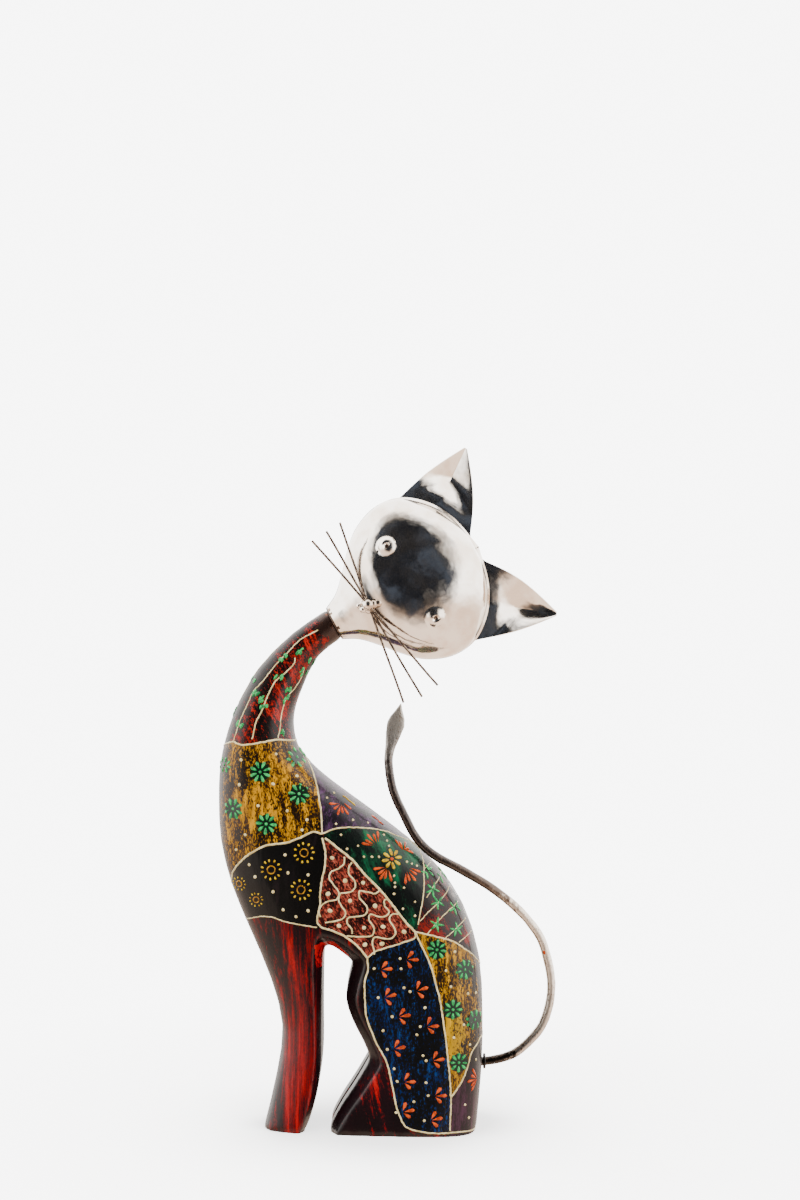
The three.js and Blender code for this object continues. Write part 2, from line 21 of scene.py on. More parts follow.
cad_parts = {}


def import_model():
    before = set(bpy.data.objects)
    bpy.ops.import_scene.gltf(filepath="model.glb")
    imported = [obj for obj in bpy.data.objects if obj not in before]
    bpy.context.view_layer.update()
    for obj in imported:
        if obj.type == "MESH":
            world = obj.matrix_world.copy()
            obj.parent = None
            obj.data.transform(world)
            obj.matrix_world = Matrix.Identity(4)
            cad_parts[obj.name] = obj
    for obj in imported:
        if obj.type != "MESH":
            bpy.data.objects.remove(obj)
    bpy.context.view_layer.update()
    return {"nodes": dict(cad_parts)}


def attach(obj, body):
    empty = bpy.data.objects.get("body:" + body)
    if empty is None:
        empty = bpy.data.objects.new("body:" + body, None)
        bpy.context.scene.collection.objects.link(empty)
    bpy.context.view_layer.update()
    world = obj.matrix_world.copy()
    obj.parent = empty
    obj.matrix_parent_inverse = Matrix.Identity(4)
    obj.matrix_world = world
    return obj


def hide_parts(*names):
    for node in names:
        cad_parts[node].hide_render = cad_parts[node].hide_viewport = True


log = logging.getLogger("cat")
MM = 0.001
Point = tuple[float, float]


class Side(IntEnum):
    """The figure's two flat sides, as the sign of Y on each."""

    NEAR = -1
    FAR = 1


class Slot(StrEnum):
    """The material slots that the part's record names."""

    PAINTED_WOOD = "painted_wood"
    NICKEL_SHEET = "nickel_sheet"
    WHISKER_WIRE = "whisker_wire"
    SOLDER = "solder"
    TAIL_IRON = "tail_iron"


# ---------------------------------------------------------------------------------------------
# Where the paint goes: [x, z] in millimetres on the body's side. Both sides are painted alike.
# ---------------------------------------------------------------------------------------------

COLLAR = (
    (-122.7, 223.1), (-114.9, 226), (-109.9, 224.5), (-97.6, 226.1), (-89.7, 227.4), (-78.8, 226.4),
)
SHOULDER = (
    (-72.9, 216.4), (-69, 209.4), (-66.4, 202.5), (-64.4, 194.3), (-63.2, 186.6), (-62.5, 174.2),
)
CHEST = (
    (-62.5, 174.2), (-67.7, 175.3), (-75.1, 171.9), (-83.8, 168.9), (-95.4, 167), (-104.3, 162),
    (-110.3, 156.9), (-114.8, 150.5), (-116.5, 143.1),
)
BACK = (
    (-62.5, 174.2), (-55.1, 177), (-45.3, 177.6), (-35, 176.6), (-26.4, 174.6), (-19.4, 171.3),
    (-10.7, 166.7),
)
FLANK = (
    (-10.7, 166.7), (-6.6, 162.5), (-4.3, 157.5), (-3.8, 149.8), (-3.9, 141.7), (-5.1, 133.5),
    (-7.4, 122.3),
)
BELLY = (
    (-62.5, 171.9), (-60.8, 165.1), (-60.7, 156.5), (-62.5, 147.9), (-63.6, 139.3), (-63.6, 133.6),
    (-64.8, 127.8), (-65.3, 123.7), (-62.5, 120.3), (-57.9, 119.2),
)
DIAGONAL = (
    (-60.8, 171.9), (-52.1, 165.1), (-45.2, 159.4), (-37.8, 150.9), (-30.3, 143.5), (-23.4, 135.5),
    (-17.7, 128.1), (-13.1, 122.4), (-9.1, 118.4),
)
RUMP = (
    (-9.1, 118.4), (-1.6, 116.6), (5.3, 114.7), (12.2, 112.6), (18, 108.7), (24.5, 103.2), (30, 94.8),
)
THIGH_TOP = (
    (-9.1, 118.4), (-9.1, 115), (-14.8, 112.7), (-23.4, 109.8), (-32, 106.9), (-36.6, 103.4),
)
BELLY_EDGE = (
    (-57.9, 119.2), (-49.2, 115.3), (-42.4, 110.2), (-38.9, 106.2), (-36.6, 103.4),
)
HIP = (
    (-9.1, 118.4), (-6.8, 113.3), (-2.8, 105.3), (0.6, 96.7), (2.9, 88.2), (5.2, 79.6), (6.9, 68.1),
    (8.6, 56.6), (9.8, 45.1), (11, 33.5), (11.5, 21.9), (11, 3.8),
)
THIGH_EDGE = (
    (-36.6, 103.4), (-36, 96.5), (-37.8, 90.7), (-38.1, 84.9), (-37.8, 77.4), (-37.5, 71.7),
    (-36.1, 65.9), (-33.8, 60.2), (-30.3, 52.2), (-27.5, 47.6), (-24.6, 40.7), (-22.9, 33.2),
    (-21.1, 24.6), (-20, 18.8), (-17.7, 12), (-14.3, 6.2), (-6.2, 3.5), (5.2, 2.3), (18, 2.6),
    (25.7, 1.6),
)
TAIL_ROOT = (
    (11.5, 23.1), (15.6, 28.6), (19.6, 35.9), (22, 43.1), (23.7, 48.7), (26.7, 52), (28.6, 55.3),
)
LEG_TOP = (
    (-107.6, 122.4), (-99.9, 125.1), (-92.7, 125.7), (-85.7, 123.7), (-75.2, 121.8), (-65.4, 120.3),
)
VINE_FRONT = (
    (-65.6, 291.1), (-76.2, 285.2), (-83.1, 278.2), (-88.9, 272.4), (-98.2, 260.8), (-103.5, 254.9),
    (-106.3, 248.6), (-110.3, 239.9), (-114.9, 226),
)
VINE_LEFT = (
    (-89.5, 286.6), (-93.8, 282.7), (-98.4, 278.2), (-107.1, 265.2), (-110.1, 260), (-115.9, 250),
)
VINE_MIDDLE = (
    (-79, 274.8), (-79.5, 271.3), (-84.1, 266.6), (-90.5, 260.9), (-94.5, 253.4), (-97.8, 244.7),
    (-101.2, 237.8), (-103.4, 228.1),
)
VINE_BACK = (
    (-73.9, 268.8), (-75.1, 264.1), (-79.1, 257.2), (-83.6, 252), (-85.9, 245.7), (-87, 239.9),
    (-87.5, 234.1), (-88.5, 228.5),
)
NECK_LEAVES = (
    (-86, 274.7), (-76.7, 278.8), (-88.2, 263.2), (-96.7, 245.9), (-101.6, 255), (-74.5, 266.5),
    (-84.2, 250.3), (-111.4, 235.8), (-87.5, 231.8), (-104.1, 261.7), (-115.1, 243.6), (-69.5, 272.1),
    (-82.8, 255.4), (-98.7, 250.2),
)
CHEST_FLOWERS = (
    (-98.5, 209.3), (-75.9, 196.8), (-94.8, 179.6), (-114.5, 187.5), (-77.7, 217.1), (-120.3, 212.4),
)
CHEST_DOTS = (
    (-89.5, 219.4), (-90.9, 202.5), (-77.3, 206.8), (-110.8, 201.6), (-99.5, 189.9), (-82.7, 187.2),
    (-71.2, 182.1), (-74, 176.4), (-107.2, 172.9), (-112.7, 163.8), (-109.8, 216),
)
BACK_FAN = (-51.8, 188.4)
BACK_PETALS = (-47.9, 192.3)
BACK_STROKE = (-32.3, 181.6)
BACK_DOTS = (
    (-56, 196.5), (-59.9, 194.2), (-54.5, 179.7), (-44.8, 181.6), (-36.2, 179.6),
)
FLANK_FANS = (
    (-33.8, 170.4), (-15.4, 165.4), (-26.9, 151.9), (-11.4, 150.3),
)
FLANK_DOTS = (
    (-38.4, 161.1), (-33.8, 161), (-29.8, 160.9), (-27, 172.7), (-25.2, 169.4), (-24, 166.6),
    (-21.1, 150.1), (-20.6, 146.2), (-20.6, 143.9), (-21.1, 140), (-13.7, 157.5), (-10.8, 156.2),
    (-7.9, 154.9), (-51.6, 173.6), (-41.8, 167.3), (-48.1, 165.6), (-15.4, 143.3), (-9.1, 135.3),
    (-16, 131.5), (-9.1, 127.4),
)
FLANK_FLOWER = (-22.3, 159.5)
SUNS = (
    (-72.8, 163.3), (-91.9, 153.2), (-74.6, 142.1), (-100.9, 135.2), (-111.1, 143.8),
)
SUN_DOTS = (
    (-83.8, 162), (-104.9, 155.6), (-101.4, 148.7), (-82.1, 151.7), (-70.5, 150.7), (-90.8, 140.5),
    (-85, 130.2), (-70.5, 130), (-77.5, 126.4),
)
MEANDER_DOTS = (
    (-56.7, 160.5), (-49.2, 147.5), (-38.9, 146.4), (-59, 139.9), (-46.4, 136), (-32, 133.2),
    (-57.9, 130.2), (-52.7, 121.6), (-38.3, 120.6), (-27.4, 121.3), (-15.4, 118.4), (-37.8, 110.9),
    (-28, 111.5),
)
STARS = (
    (-1.5, 151.2), (7.4, 147.9), (1.3, 141.4), (4.2, 134.6), (14.1, 130.3), (3.5, 122), (15.2, 118.4),
)
SPRIGS = (
    (-26.9, 97.2), (-12, 103.1), (-24.6, 80.5), (-6.3, 84.2), (-16.6, 69.7), (-0.5, 64.2),
    (-19.4, 50.7), (2.9, 44.6), (-13.7, 32.3), (4.1, 24.4), (-14.3, 14.3), (1.8, 9.9),
)
SPRIG_DOTS = (
    (-17.1, 97.3), (-15.4, 86.4), (-3.4, 75.1), (-27.4, 61.5), (-8, 59.5), (-4.5, 47.5), (-21.1, 39.6),
    (-2.8, 31.9), (-9.7, 20.8),
)
HIP_FLOWERS = (
    (3.5, 108), (19.7, 95.8), (12.7, 73.7), (25.5, 66.6), (16.1, 43.1),
)
HIP_DOTS = (
    (13.9, 106.3), (8.7, 96), (11.5, 86.8), (21.4, 82.1), (26.1, 81.9), (19, 64.7), (13.2, 57.7),
    (22.5, 52.9),
)
ROOT_FAN = (24.9, 32)
ROOT_DOTS = ((19.7, 18.3), (22, 10.2), (26.1, 43.5))
BACK_CRACK = ((-60.2, 201.9), (-59.6, 176.4))
MEANDERS = (
    (
        (-49.5, 161.1), (-49.7, 157.5), (-52.8, 154.6), (-57.5, 152.4), (-58.2, 148.7), (-55.4, 144.6),
        (-52.8, 140.5), (-53.9, 136.9), (-59.5, 135.3), (-63.2, 132.7), (-64.2, 129.6), (-63.6, 126.5),
    ),
    (
        (-45.1, 158), (-47.1, 154.9), (-47.1, 151.3), (-44, 147.7), (-43.3, 144.1), (-46.1, 141),
        (-51.8, 140), (-53, 136.9), (-51.3, 132.7), (-48.9, 129.6), (-50.2, 126), (-54.9, 124.3),
        (-60.6, 123.4),
    ),
    (
        (-29.6, 142), (-31.6, 140.2), (-36.3, 141), (-40.9, 141.5), (-41.3, 138.4), (-38.4, 134.8),
        (-36.3, 131.2), (-37.8, 128.1), (-42.5, 127), (-47.7, 126), (-47.9, 122.9), (-45.6, 120.3),
        (-45.1, 117.2),
    ),
    (
        (-24.9, 136.9), (-26.8, 136.3), (-26.5, 133.2), (-23.9, 130.1), (-25.4, 127.6), (-29.6, 127),
        (-34.7, 128.4), (-35.8, 125.5), (-33.7, 122.4), (-32.4, 119.3), (-33.7, 116.2), (-39.4, 115.4),
        (-48.2, 115.7),
    ),
    (
        (-18.7, 128.6), (-22.9, 128.1), (-23.9, 125), (-21.3, 121.4), (-20.3, 117.7), (-22.9, 114.6),
        (-27, 114.6), (-32.2, 115.2), (-33.7, 112.1), (-32.7, 108.4), (-32.4, 105.3),
    ),
)
FLANK_VINES = (
    ((-3.2, 153.2), (1.9, 156.5)),
    ((-2.4, 137.1), (0.9, 142), (5.9, 148.2), (7.6, 151.3)),
    ((-6.1, 124.3), (-2.2, 128.6), (4.5, 134.3), (10.2, 140), (11, 141.8)),
    ((-2.4, 116.4), (3, 122.9), (10.2, 129.1), (18.5, 134.6)),
    ((7.3, 113.3), (13.3, 118.1), (20.5, 123.4)),
    ((16.4, 111.2), (20.3, 113.9), (25.2, 116)),
)


# ---------------------------------------------------------------------------------------------
# Lines and meshes
# ---------------------------------------------------------------------------------------------


def smooth_line(points: Iterable[Sequence[float]], count: int) -> np.ndarray:
    """Points evenly spaced along a centripetal Catmull-Rom line.

    Args:
        points: the places the line goes through, in any number of dimensions.
        count: how many points to return.

    Returns:
        An array of `count` points from the first place to the last.
    """
    given = np.array(list(points), float)
    padded = np.vstack([2 * given[0] - given[1], given, 2 * given[-1] - given[-2]])
    dense = [given[0]]
    for k in range(1, len(padded) - 2):
        p0, p1, p2, p3 = padded[k - 1:k + 3]
        d0, d1, d2 = (max(float(np.linalg.norm(b - a)) ** 0.5, 1e-6)
                      for a, b in ((p0, p1), (p1, p2), (p2, p3)))
        start = ((p1 - p0) / d0 - (p2 - p0) / (d0 + d1) + (p2 - p1) / d1) * d1
        end = ((p2 - p1) / d1 - (p3 - p1) / (d1 + d2) + (p3 - p2) / d2) * d1
        for t in np.linspace(0, 1, 25)[1:]:
            dense.append(p1 + start * t + (3 * (p2 - p1) - 2 * start - end) * t**2
                         + (2 * (p1 - p2) + start + end) * t**3)
    line = np.array(dense)
    run = np.concatenate([[0], np.cumsum(np.linalg.norm(np.diff(line, axis=0), axis=1))])
    places = np.linspace(0, run[-1], count)
    return np.column_stack([np.interp(places, run, line[:, i]) for i in range(line.shape[1])])


def length_of(points: Sequence[Sequence[float]]) -> float:
    """The length of a broken line."""
    return float(np.linalg.norm(np.diff(np.array(points, float), axis=0), axis=1).sum())


def smoothstep(x: float, low: float, high: float) -> float:
    """0 below low, 1 above high and a smooth rise in between."""
    t = min(max((x - low) / (high - low), 0.0), 1.0)
    return t * t * (3 - 2 * t)


def mesh_object(name: str, points: Sequence, faces: Sequence) -> bpy.types.Object:
    """A new object of these points and faces, with doubles merged and its faces outward.

    Args:
        name: the piece's name.
        points: its places, in metres.
        faces: for each face the numbers of its points.

    Returns:
        The new object.
    """
    mesh = bpy.data.meshes.new(name)
    mesh.from_pydata([tuple(map(float, p)) for p in points], [], [tuple(map(int, f)) for f in faces])
    shape = bmesh.new()
    shape.from_mesh(mesh)
    bmesh.ops.remove_doubles(shape, verts=shape.verts, dist=1e-6)
    bmesh.ops.recalc_face_normals(shape, faces=shape.faces)
    shape.to_mesh(mesh)
    shape.free()
    obj = bpy.data.objects.new(name, mesh)
    bpy.context.scene.collection.objects.link(obj)
    return obj


def select_only(obj: bpy.types.Object) -> None:
    """Makes one piece the only selected and active one.

    Args:
        obj: the piece.
    """
    bpy.ops.object.select_all(action="DESELECT")
    obj.select_set(True)
    bpy.context.view_layer.objects.active = obj


def apply_modifier(obj: bpy.types.Object, kind: str, **settings: object) -> None:
    """Adds a modifier to a piece and applies it at once.

    Args:
        obj: the piece.
        kind: the modifier's type.
        settings: the modifier's own properties.
    """
    select_only(obj)
    modifier = obj.modifiers.new(kind.lower(), kind)
    for name, value in settings.items():
        setattr(modifier, name, value)
    bpy.ops.object.modifier_apply(modifier=modifier.name)


def shade_smooth(obj: bpy.types.Object, degrees: float = 180) -> bpy.types.Object:
    """Smooth shading, but for edges sharper than an angle.

    Args:
        obj: the piece.
        degrees: the angle past which an edge stays sharp.

    Returns:
        The piece itself.
    """
    select_only(obj)
    if degrees >= 180:
        bpy.ops.object.shade_smooth()
    else:
        bpy.ops.object.shade_smooth_by_angle(angle=math.radians(degrees))
    return obj


def finish_piece(
    obj: bpy.types.Object, material: bpy.types.Material | None, replaced: Sequence[str] = ()
) -> bpy.types.Object:
    """Gives a piece its material and the body it rides on.

    Args:
        obj: the piece, with its place in its mesh.
        material: the piece's only material, or None if it already has its own.
        replaced: the CAD nodes that it stands for.

    Returns:
        The piece itself.
    """
    if material is not None:
        obj.data.materials.clear()
        obj.data.materials.append(material)
    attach(obj, "root")
    if replaced:
        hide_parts(*replaced)
    return obj


def grid_faces(rows: int, width: int, closed: bool = False) -> list[tuple[int, ...]]:
    """The faces between rows of points.

    Args:
        rows: how many steps there are from the first row to the last.
        width: how many points each row has.
        closed: whether a row's last point joins its first.

    Returns:
        For each face the numbers of its four points.
    """
    faces = []
    for k in range(rows):
        for i in range(width if closed else width - 1):
            a, b = k * width + i, k * width + (i + 1) % width
            faces.append((a, b, b + width, a + width))
    return faces


def face_centres(mesh: bpy.types.Mesh) -> np.ndarray:
    """The middle of each face.

    Args:
        mesh: the mesh.

    Returns:
        A row for each face, in metres.
    """
    centres = np.empty(len(mesh.polygons) * 3, np.float32)
    mesh.polygons.foreach_get("center", centres)
    return centres.reshape(-1, 3)


def tubes(name: str, lines: Sequence[Sequence[tuple[Vector, float]]], sides: int) -> bpy.types.Object:
    """Round tubes along broken lines, as one mesh with closed ends.

    Args:
        name: the piece's name.
        lines: for each tube its points and radii, in metres.
        sides: how many sides a tube has, a multiple of four.

    Returns:
        The new object.
    """
    curve = bpy.data.curves.new(name, "CURVE")
    curve.dimensions = "3D"
    curve.bevel_depth = 1.0
    curve.bevel_resolution = sides // 4 - 1
    curve.use_fill_caps = True
    for line in lines:
        spline = curve.splines.new("POLY")
        spline.points.add(len(line) - 1)
        for target, (place, radius) in zip(spline.points, line):
            target.co = (*place, 1)
            target.radius = radius
    obj = bpy.data.objects.new(name, curve)
    bpy.context.scene.collection.objects.link(obj)
    select_only(obj)
    bpy.ops.object.convert(target="MESH")
    return shade_smooth(bpy.context.view_layer.objects.active, 70)


# ---------------------------------------------------------------------------------------------
# Materials
# ---------------------------------------------------------------------------------------------


def srgb(colour: str) -> tuple[float, float, float, float]:
    """A hex colour turned to linear.

    Args:
        colour: six hex digits, sRGB.

    Returns:
        Red, green, blue and alpha, linear.
    """
    channels = [int(colour[i:i + 2], 16) / 255 for i in (0, 2, 4)]
    linear = [c / 12.92 if c <= 0.04045 else ((c + 0.055) / 1.055) ** 2.4 for c in channels]
    return (*linear, 1.0)


# Settings that many nodes share: a Map Range that eases in and out, and a Mix of two colours
SMOOTH = {"interpolation_type": "SMOOTHSTEP"}
COLOURS = {"data_type": "RGBA"}
# How wide the noise's usual swing is, so that a share of cover can be turned into a threshold
NOISE_SWING = 0.34


class NodeTree:
    """A material's or world's node tree, filled from a blank one."""

    def __init__(self, owner: bpy.types.Material | bpy.types.World) -> None:
        """Empties the owner's tree.

        Args:
            owner: the material or the world.
        """
        owner.use_nodes = True
        self.tree = owner.node_tree
        self.tree.nodes.clear()

    def add(self, kind: str, inputs: dict, out: int | str = 0,
            **settings: object) -> bpy.types.NodeSocket | None:
        """Adds a node with its settings and links.

        Args:
            kind: the node's type, without the ShaderNode that every type starts with.
            inputs: for an input's name or number its value, or the output that feeds it.
            out: the name or number of the output that is wanted.
            settings: the node's own properties.

        Returns:
            That output, or None from a node that has none.
        """
        node = self.tree.nodes.new("ShaderNode" + kind)
        for name, value in settings.items():
            setattr(node, name, value)
        for name, value in inputs.items():
            if isinstance(value, bpy.types.NodeSocket):
                self.tree.links.new(value, node.inputs[name])
            else:
                node.inputs[name].default_value = value
        return node.outputs[out] if node.outputs else None

    def grains(self, across: float, along: float, lean: float = 0.0) -> bpy.types.NodeSocket:
        """Object coordinates counted in grains, so that a pattern has its real size.

        Args:
            across: a grain's width in millimetres.
            along: its length in millimetres.
            lean: how far its length leans from upright, in degrees.

        Returns:
            The coordinates.
        """
        place = self.add("TexCoord", {}, "Object")
        turned = self.add("VectorRotate", {"Vector": place, "Angle": math.radians(lean)},
                          rotation_type="Y_AXIS")
        per_metre = tuple(1 / (size * MM) for size in (across, across, along))
        return self.add("VectorMath", {0: turned, 1: per_metre}, operation="MULTIPLY")


@dataclass(frozen=True)
class BrushedPaint:
    """Lacquered wood: paint dragged nearly dry over a dark ground, so that the ground shows.

    ground and deep are two shades under it, paint and light two shades of the strokes. cover is
    the painted share, across and along a stroke's size in millimetres, and lean its direction
    from upright in degrees. Where speckle is high, fine dark pores break the strokes up. soft is
    how gently a stroke ends, and flats how much less paint the edges and gap walls that turn away
    from the flat sides get: partly the brush leaving them bare, partly painted shade.
    """

    name: str
    ground: str
    deep: str
    paint: str
    light: str
    cover: float
    across: float = 2.4
    along: float = 16.0
    lean: float = 0.0
    speckle: float = 0.5
    soft: float = 0.03
    bare_edges_and_shade: float = 0.0
    # A pore of the wood is 0.2 mm wide and too fine to show, so it is drawn nearly four times coarser
    pore: Point = (0.75, 1.9)
    run: Point = (2.2, 9.0)  # how wide and long the lacquer's runs are
    stroke_rise: float = 0.12
    run_rise: float = 0.10

    def material(self) -> bpy.types.Material:
        """Artist's acrylic, dry-brushed on wood, under gloss polyurethane lacquer.

        Returns:
            The new material.
        """
        made = bpy.data.materials.new(f"lacquered_acrylic_{self.name}")
        nodes = NodeTree(made)
        # The brush was nearly dry: the eye sees broken streaks with the dark ground between them
        streaks = nodes.add("TexNoise", {"Vector": nodes.grains(self.across, self.along, self.lean),
                                         "Scale": 1.0, "Detail": 6, "Roughness": 0.62})
        drift = nodes.add("TexNoise", {"Vector": nodes.grains(self.across * 7, self.along * 1.6, self.lean),
                                       "Scale": 1.0, "Detail": 2, "Roughness": 0.5})
        pores = nodes.add("TexNoise", {"Vector": nodes.grains(*self.pore, self.lean),
                                       "Scale": 1.0, "Detail": 3, "Roughness": 0.7})
        fine = nodes.add("Math", {0: streaks, 1: 0.55}, operation="MULTIPLY")
        level = nodes.add("Math", {0: drift, 1: 0.45, 2: fine}, operation="MULTIPLY_ADD")
        pitted = nodes.add("Math", {0: pores, 1: 0.5}, operation="SUBTRACT")
        broken = nodes.add("Math", {0: pitted, 1: 0.62 * self.speckle, 2: level}, operation="MULTIPLY_ADD")
        # Less paint on the edges and gap walls that turn away from the flat sides: partly the brush
        # leaving them bare, partly painted shade where the rounded edges and the gap between the legs darken
        facing = nodes.add("SeparateXYZ", {0: nodes.add("TexCoord", {}, "Normal")}, "Y")
        sideways = nodes.add("Math", {0: facing}, operation="ABSOLUTE")
        turned = nodes.add("MapRange", {0: sideways, 1: 0.85, 2: 0.25}, **SMOOTH)
        broken = nodes.add("Math", {0: turned, 1: -self.bare_edges_and_shade, 2: broken}, operation="MULTIPLY_ADD")
        edge = 0.5 + (0.5 - self.cover) * NOISE_SWING
        patchy = nodes.add("MapRange", {0: drift, 1: 0.35, 2: 0.65}, **SMOOTH)
        under = nodes.add("Mix", {0: patchy, 6: srgb(self.deep), 7: srgb(self.ground)}, 2, **COLOURS)
        thick = nodes.add("MapRange", {0: streaks, 1: 0.45, 2: 0.68}, **SMOOTH)
        over = nodes.add("Mix", {0: thick, 6: srgb(self.paint), 7: srgb(self.light)}, 2, **COLOURS)
        painted = nodes.add("MapRange", {0: broken, 1: edge - self.soft, 2: edge + self.soft}, **SMOOTH)
        colour = nodes.add("Mix", {0: painted, 6: under, 7: over}, 2, **COLOURS)
        # Under the lacquer the strokes stand up a little, and the lacquer itself has run: the eye
        # sees a wet shine with soft ripples, which fades where the edge turns away
        raised = nodes.add("Math", {0: pores, 1: 0.5, 2: streaks}, operation="MULTIPLY_ADD")
        brushed = nodes.add("Bump", {"Height": raised, "Distance": self.stroke_rise * MM, "Strength": 1.0})
        runs = nodes.add("TexNoise", {"Vector": nodes.grains(*self.run, self.lean),
                                      "Scale": 1.0, "Detail": 2, "Roughness": 0.5})
        flowed = nodes.add("Bump", {"Height": runs, "Distance": self.run_rise * MM, "Strength": 1.0})
        rim = nodes.add("LayerWeight", {"Blend": 0.5}, "Facing")
        gloss = nodes.add("MapRange", {0: rim, 1: 0.45, 2: 0.95, 3: 0.45, 4: 0.06}, **SMOOTH)
        shader = nodes.add("BsdfPrincipled", {
            "Base Color": colour, "Roughness": 0.5, "IOR": 1.5, "Specular IOR Level": 0.1, "Normal": brushed,
            "Coat Weight": gloss, "Coat Roughness": 0.08, "Coat IOR": 1.3, "Coat Normal": flowed})
        nodes.add("OutputMaterial", {"Surface": shader})
        return made


@dataclass(frozen=True)
class ReliefColour:
    """Thick outliner paint that stands up from the surface: two shades, worn dark in places."""

    name: str
    full: str
    thin: str
    wear: float = 2.6
    # The grain of dried acrylic is under 0.1 mm and too fine to show, so it is drawn at 0.5 mm
    grain: float = 0.5
    grain_rise: float = 0.05

    def material(self) -> bpy.types.Material:
        """Acrylic relief paint, squeezed from a cone and left to dry.

        Returns:
            The new material.
        """
        made = bpy.data.materials.new(f"relief_acrylic_{self.name}")
        nodes = NodeTree(made)
        # It dried thinner in places: the eye sees strong colour with worn spots and a soft gloss
        worn = nodes.add("TexNoise", {"Vector": nodes.grains(self.wear, self.wear), "Scale": 1.0,
                                      "Detail": 3, "Roughness": 0.6})
        patchy = nodes.add("MapRange", {0: worn, 1: 0.36, 2: 0.62}, **SMOOTH)
        colour = nodes.add("Mix", {0: patchy, 6: srgb(self.thin), 7: srgb(self.full)}, 2, **COLOURS)
        sand = nodes.add("TexNoise", {"Vector": nodes.grains(self.grain, self.grain), "Scale": 1.0,
                                      "Detail": 2, "Roughness": 0.5})
        grain = nodes.add("Bump", {"Height": sand, "Distance": self.grain_rise * MM, "Strength": 1.0})
        shader = nodes.add("BsdfPrincipled", {
            "Base Color": colour, "Roughness": 0.45, "Specular IOR Level": 0.15, "Normal": grain,
            "Coat Weight": 0.3, "Coat Roughness": 0.12, "Coat IOR": 1.35})
        nodes.add("OutputMaterial", {"Surface": shader})
        return made


@dataclass(frozen=True)
class BrightNickel:
    """Thin polished sheet: nearly a mirror, faintly waved by beating, with fine rubbing marks."""

    name: str
    bright: str = "D9D3CC"
    warm: str = "C9BEB2"
    dull: float = 0.07
    wave: float = 0.35
    cloud: float = 14.0
    beat: float = 11.0
    pit: float = 0.9
    # A buffing mark is 0.02 mm wide and too fine to show, so it is drawn at 0.35 mm and very shallow
    mark: Point = (0.35, 9.0)
    mark_lean: float = 55.0
    mark_rise: float = 0.006

    def material(self) -> bpy.types.Material:
        """Buffed nickel plate on beaten sheet, or solder rubbed bright.

        Returns:
            The new material.
        """
        made = bpy.data.materials.new(f"buffed_{self.name}")
        nodes = NodeTree(made)
        # Beating left it slightly wavy: the eye sees a mirror whose edges swim, with a warm cast
        # in clouds, and the cloth's fine marks blur it a little
        cloud = nodes.add("TexNoise", {"Vector": nodes.grains(self.cloud, self.cloud), "Scale": 1.0,
                                       "Detail": 3, "Roughness": 0.55})
        rubbed = nodes.add("TexNoise", {"Vector": nodes.grains(*self.mark, self.mark_lean), "Scale": 1.0,
                                        "Detail": 2, "Roughness": 0.6})
        pits = nodes.add("TexNoise", {"Vector": nodes.grains(self.pit, self.pit), "Scale": 1.0,
                                      "Detail": 2, "Roughness": 0.5})
        beats = nodes.add("TexNoise", {"Vector": nodes.grains(self.beat, self.beat), "Scale": 1.0,
                                       "Detail": 2, "Roughness": 0.5})
        cast = nodes.add("MapRange", {0: cloud, 1: 0.4, 2: 0.65}, **SMOOTH)
        colour = nodes.add("Mix", {0: cast, 6: srgb(self.bright), 7: srgb(self.warm)}, 2, **COLOURS)
        hazy = nodes.add("MapRange", {0: cloud, 1: 0.35, 2: 0.7, 3: self.dull, 4: self.dull + 0.07}, **SMOOTH)
        rough = nodes.add("Math", {0: rubbed, 1: 0.04, 2: hazy}, operation="MULTIPLY_ADD")
        waved = nodes.add("Bump", {"Height": beats, "Distance": self.wave * MM, "Strength": 1.0})
        marks = nodes.add("Math", {0: rubbed, 1: pits}, operation="ADD")
        normal = nodes.add("Bump", {"Height": marks, "Distance": self.mark_rise * MM, "Strength": 1.0,
                                    "Normal": waved})
        shader = nodes.add("BsdfPrincipled", {"Base Color": colour, "Metallic": 1.0, "Roughness": rough,
                                              "Normal": normal})
        nodes.add("OutputMaterial", {"Surface": shader})
        return made


@dataclass(frozen=True)
class StainedMetal:
    """Metal darkened by heat or varnish: bare patches shine through a brown-black skin."""

    name: str
    bare: str
    stain: str
    cover: float
    size: float = 3.0
    dent: float = 1.6
    dent_rise: float = 0.10

    def material(self) -> bpy.types.Material:
        """Steel sheet or wire, browned by soldering heat and varnished.

        Returns:
            The new material.
        """
        made = bpy.data.materials.new(f"heat_browned_steel_{self.name}")
        nodes = NodeTree(made)
        # The heat was uneven: the eye sees bare glints between duller brown patches
        patch = nodes.add("TexNoise", {"Vector": nodes.grains(self.size, self.size * 1.4), "Scale": 1.0,
                                       "Detail": 5, "Roughness": 0.65})
        edge = 0.5 + (0.5 - self.cover) * NOISE_SWING
        stained = nodes.add("MapRange", {0: patch, 1: edge - 0.06, 2: edge + 0.06}, **SMOOTH)
        colour = nodes.add("Mix", {0: stained, 6: srgb(self.bare), 7: srgb(self.stain)}, 2, **COLOURS)
        metallic = nodes.add("MapRange", {0: stained, 1: 0.0, 2: 1.0, 3: 1.0, 4: 0.55}, **SMOOTH)
        rough = nodes.add("MapRange", {0: stained, 1: 0.0, 2: 1.0, 3: 0.22, 4: 0.38}, **SMOOTH)
        dents = nodes.add("TexNoise", {"Vector": nodes.grains(self.dent, self.dent), "Scale": 1.0,
                                       "Detail": 3, "Roughness": 0.5})
        beaten = nodes.add("Bump", {"Height": dents, "Distance": self.dent_rise * MM, "Strength": 1.0})
        shader = nodes.add("BsdfPrincipled", {"Base Color": colour, "Metallic": metallic,
                                              "Roughness": rough, "Normal": beaten})
        nodes.add("OutputMaterial", {"Surface": shader})
        return made


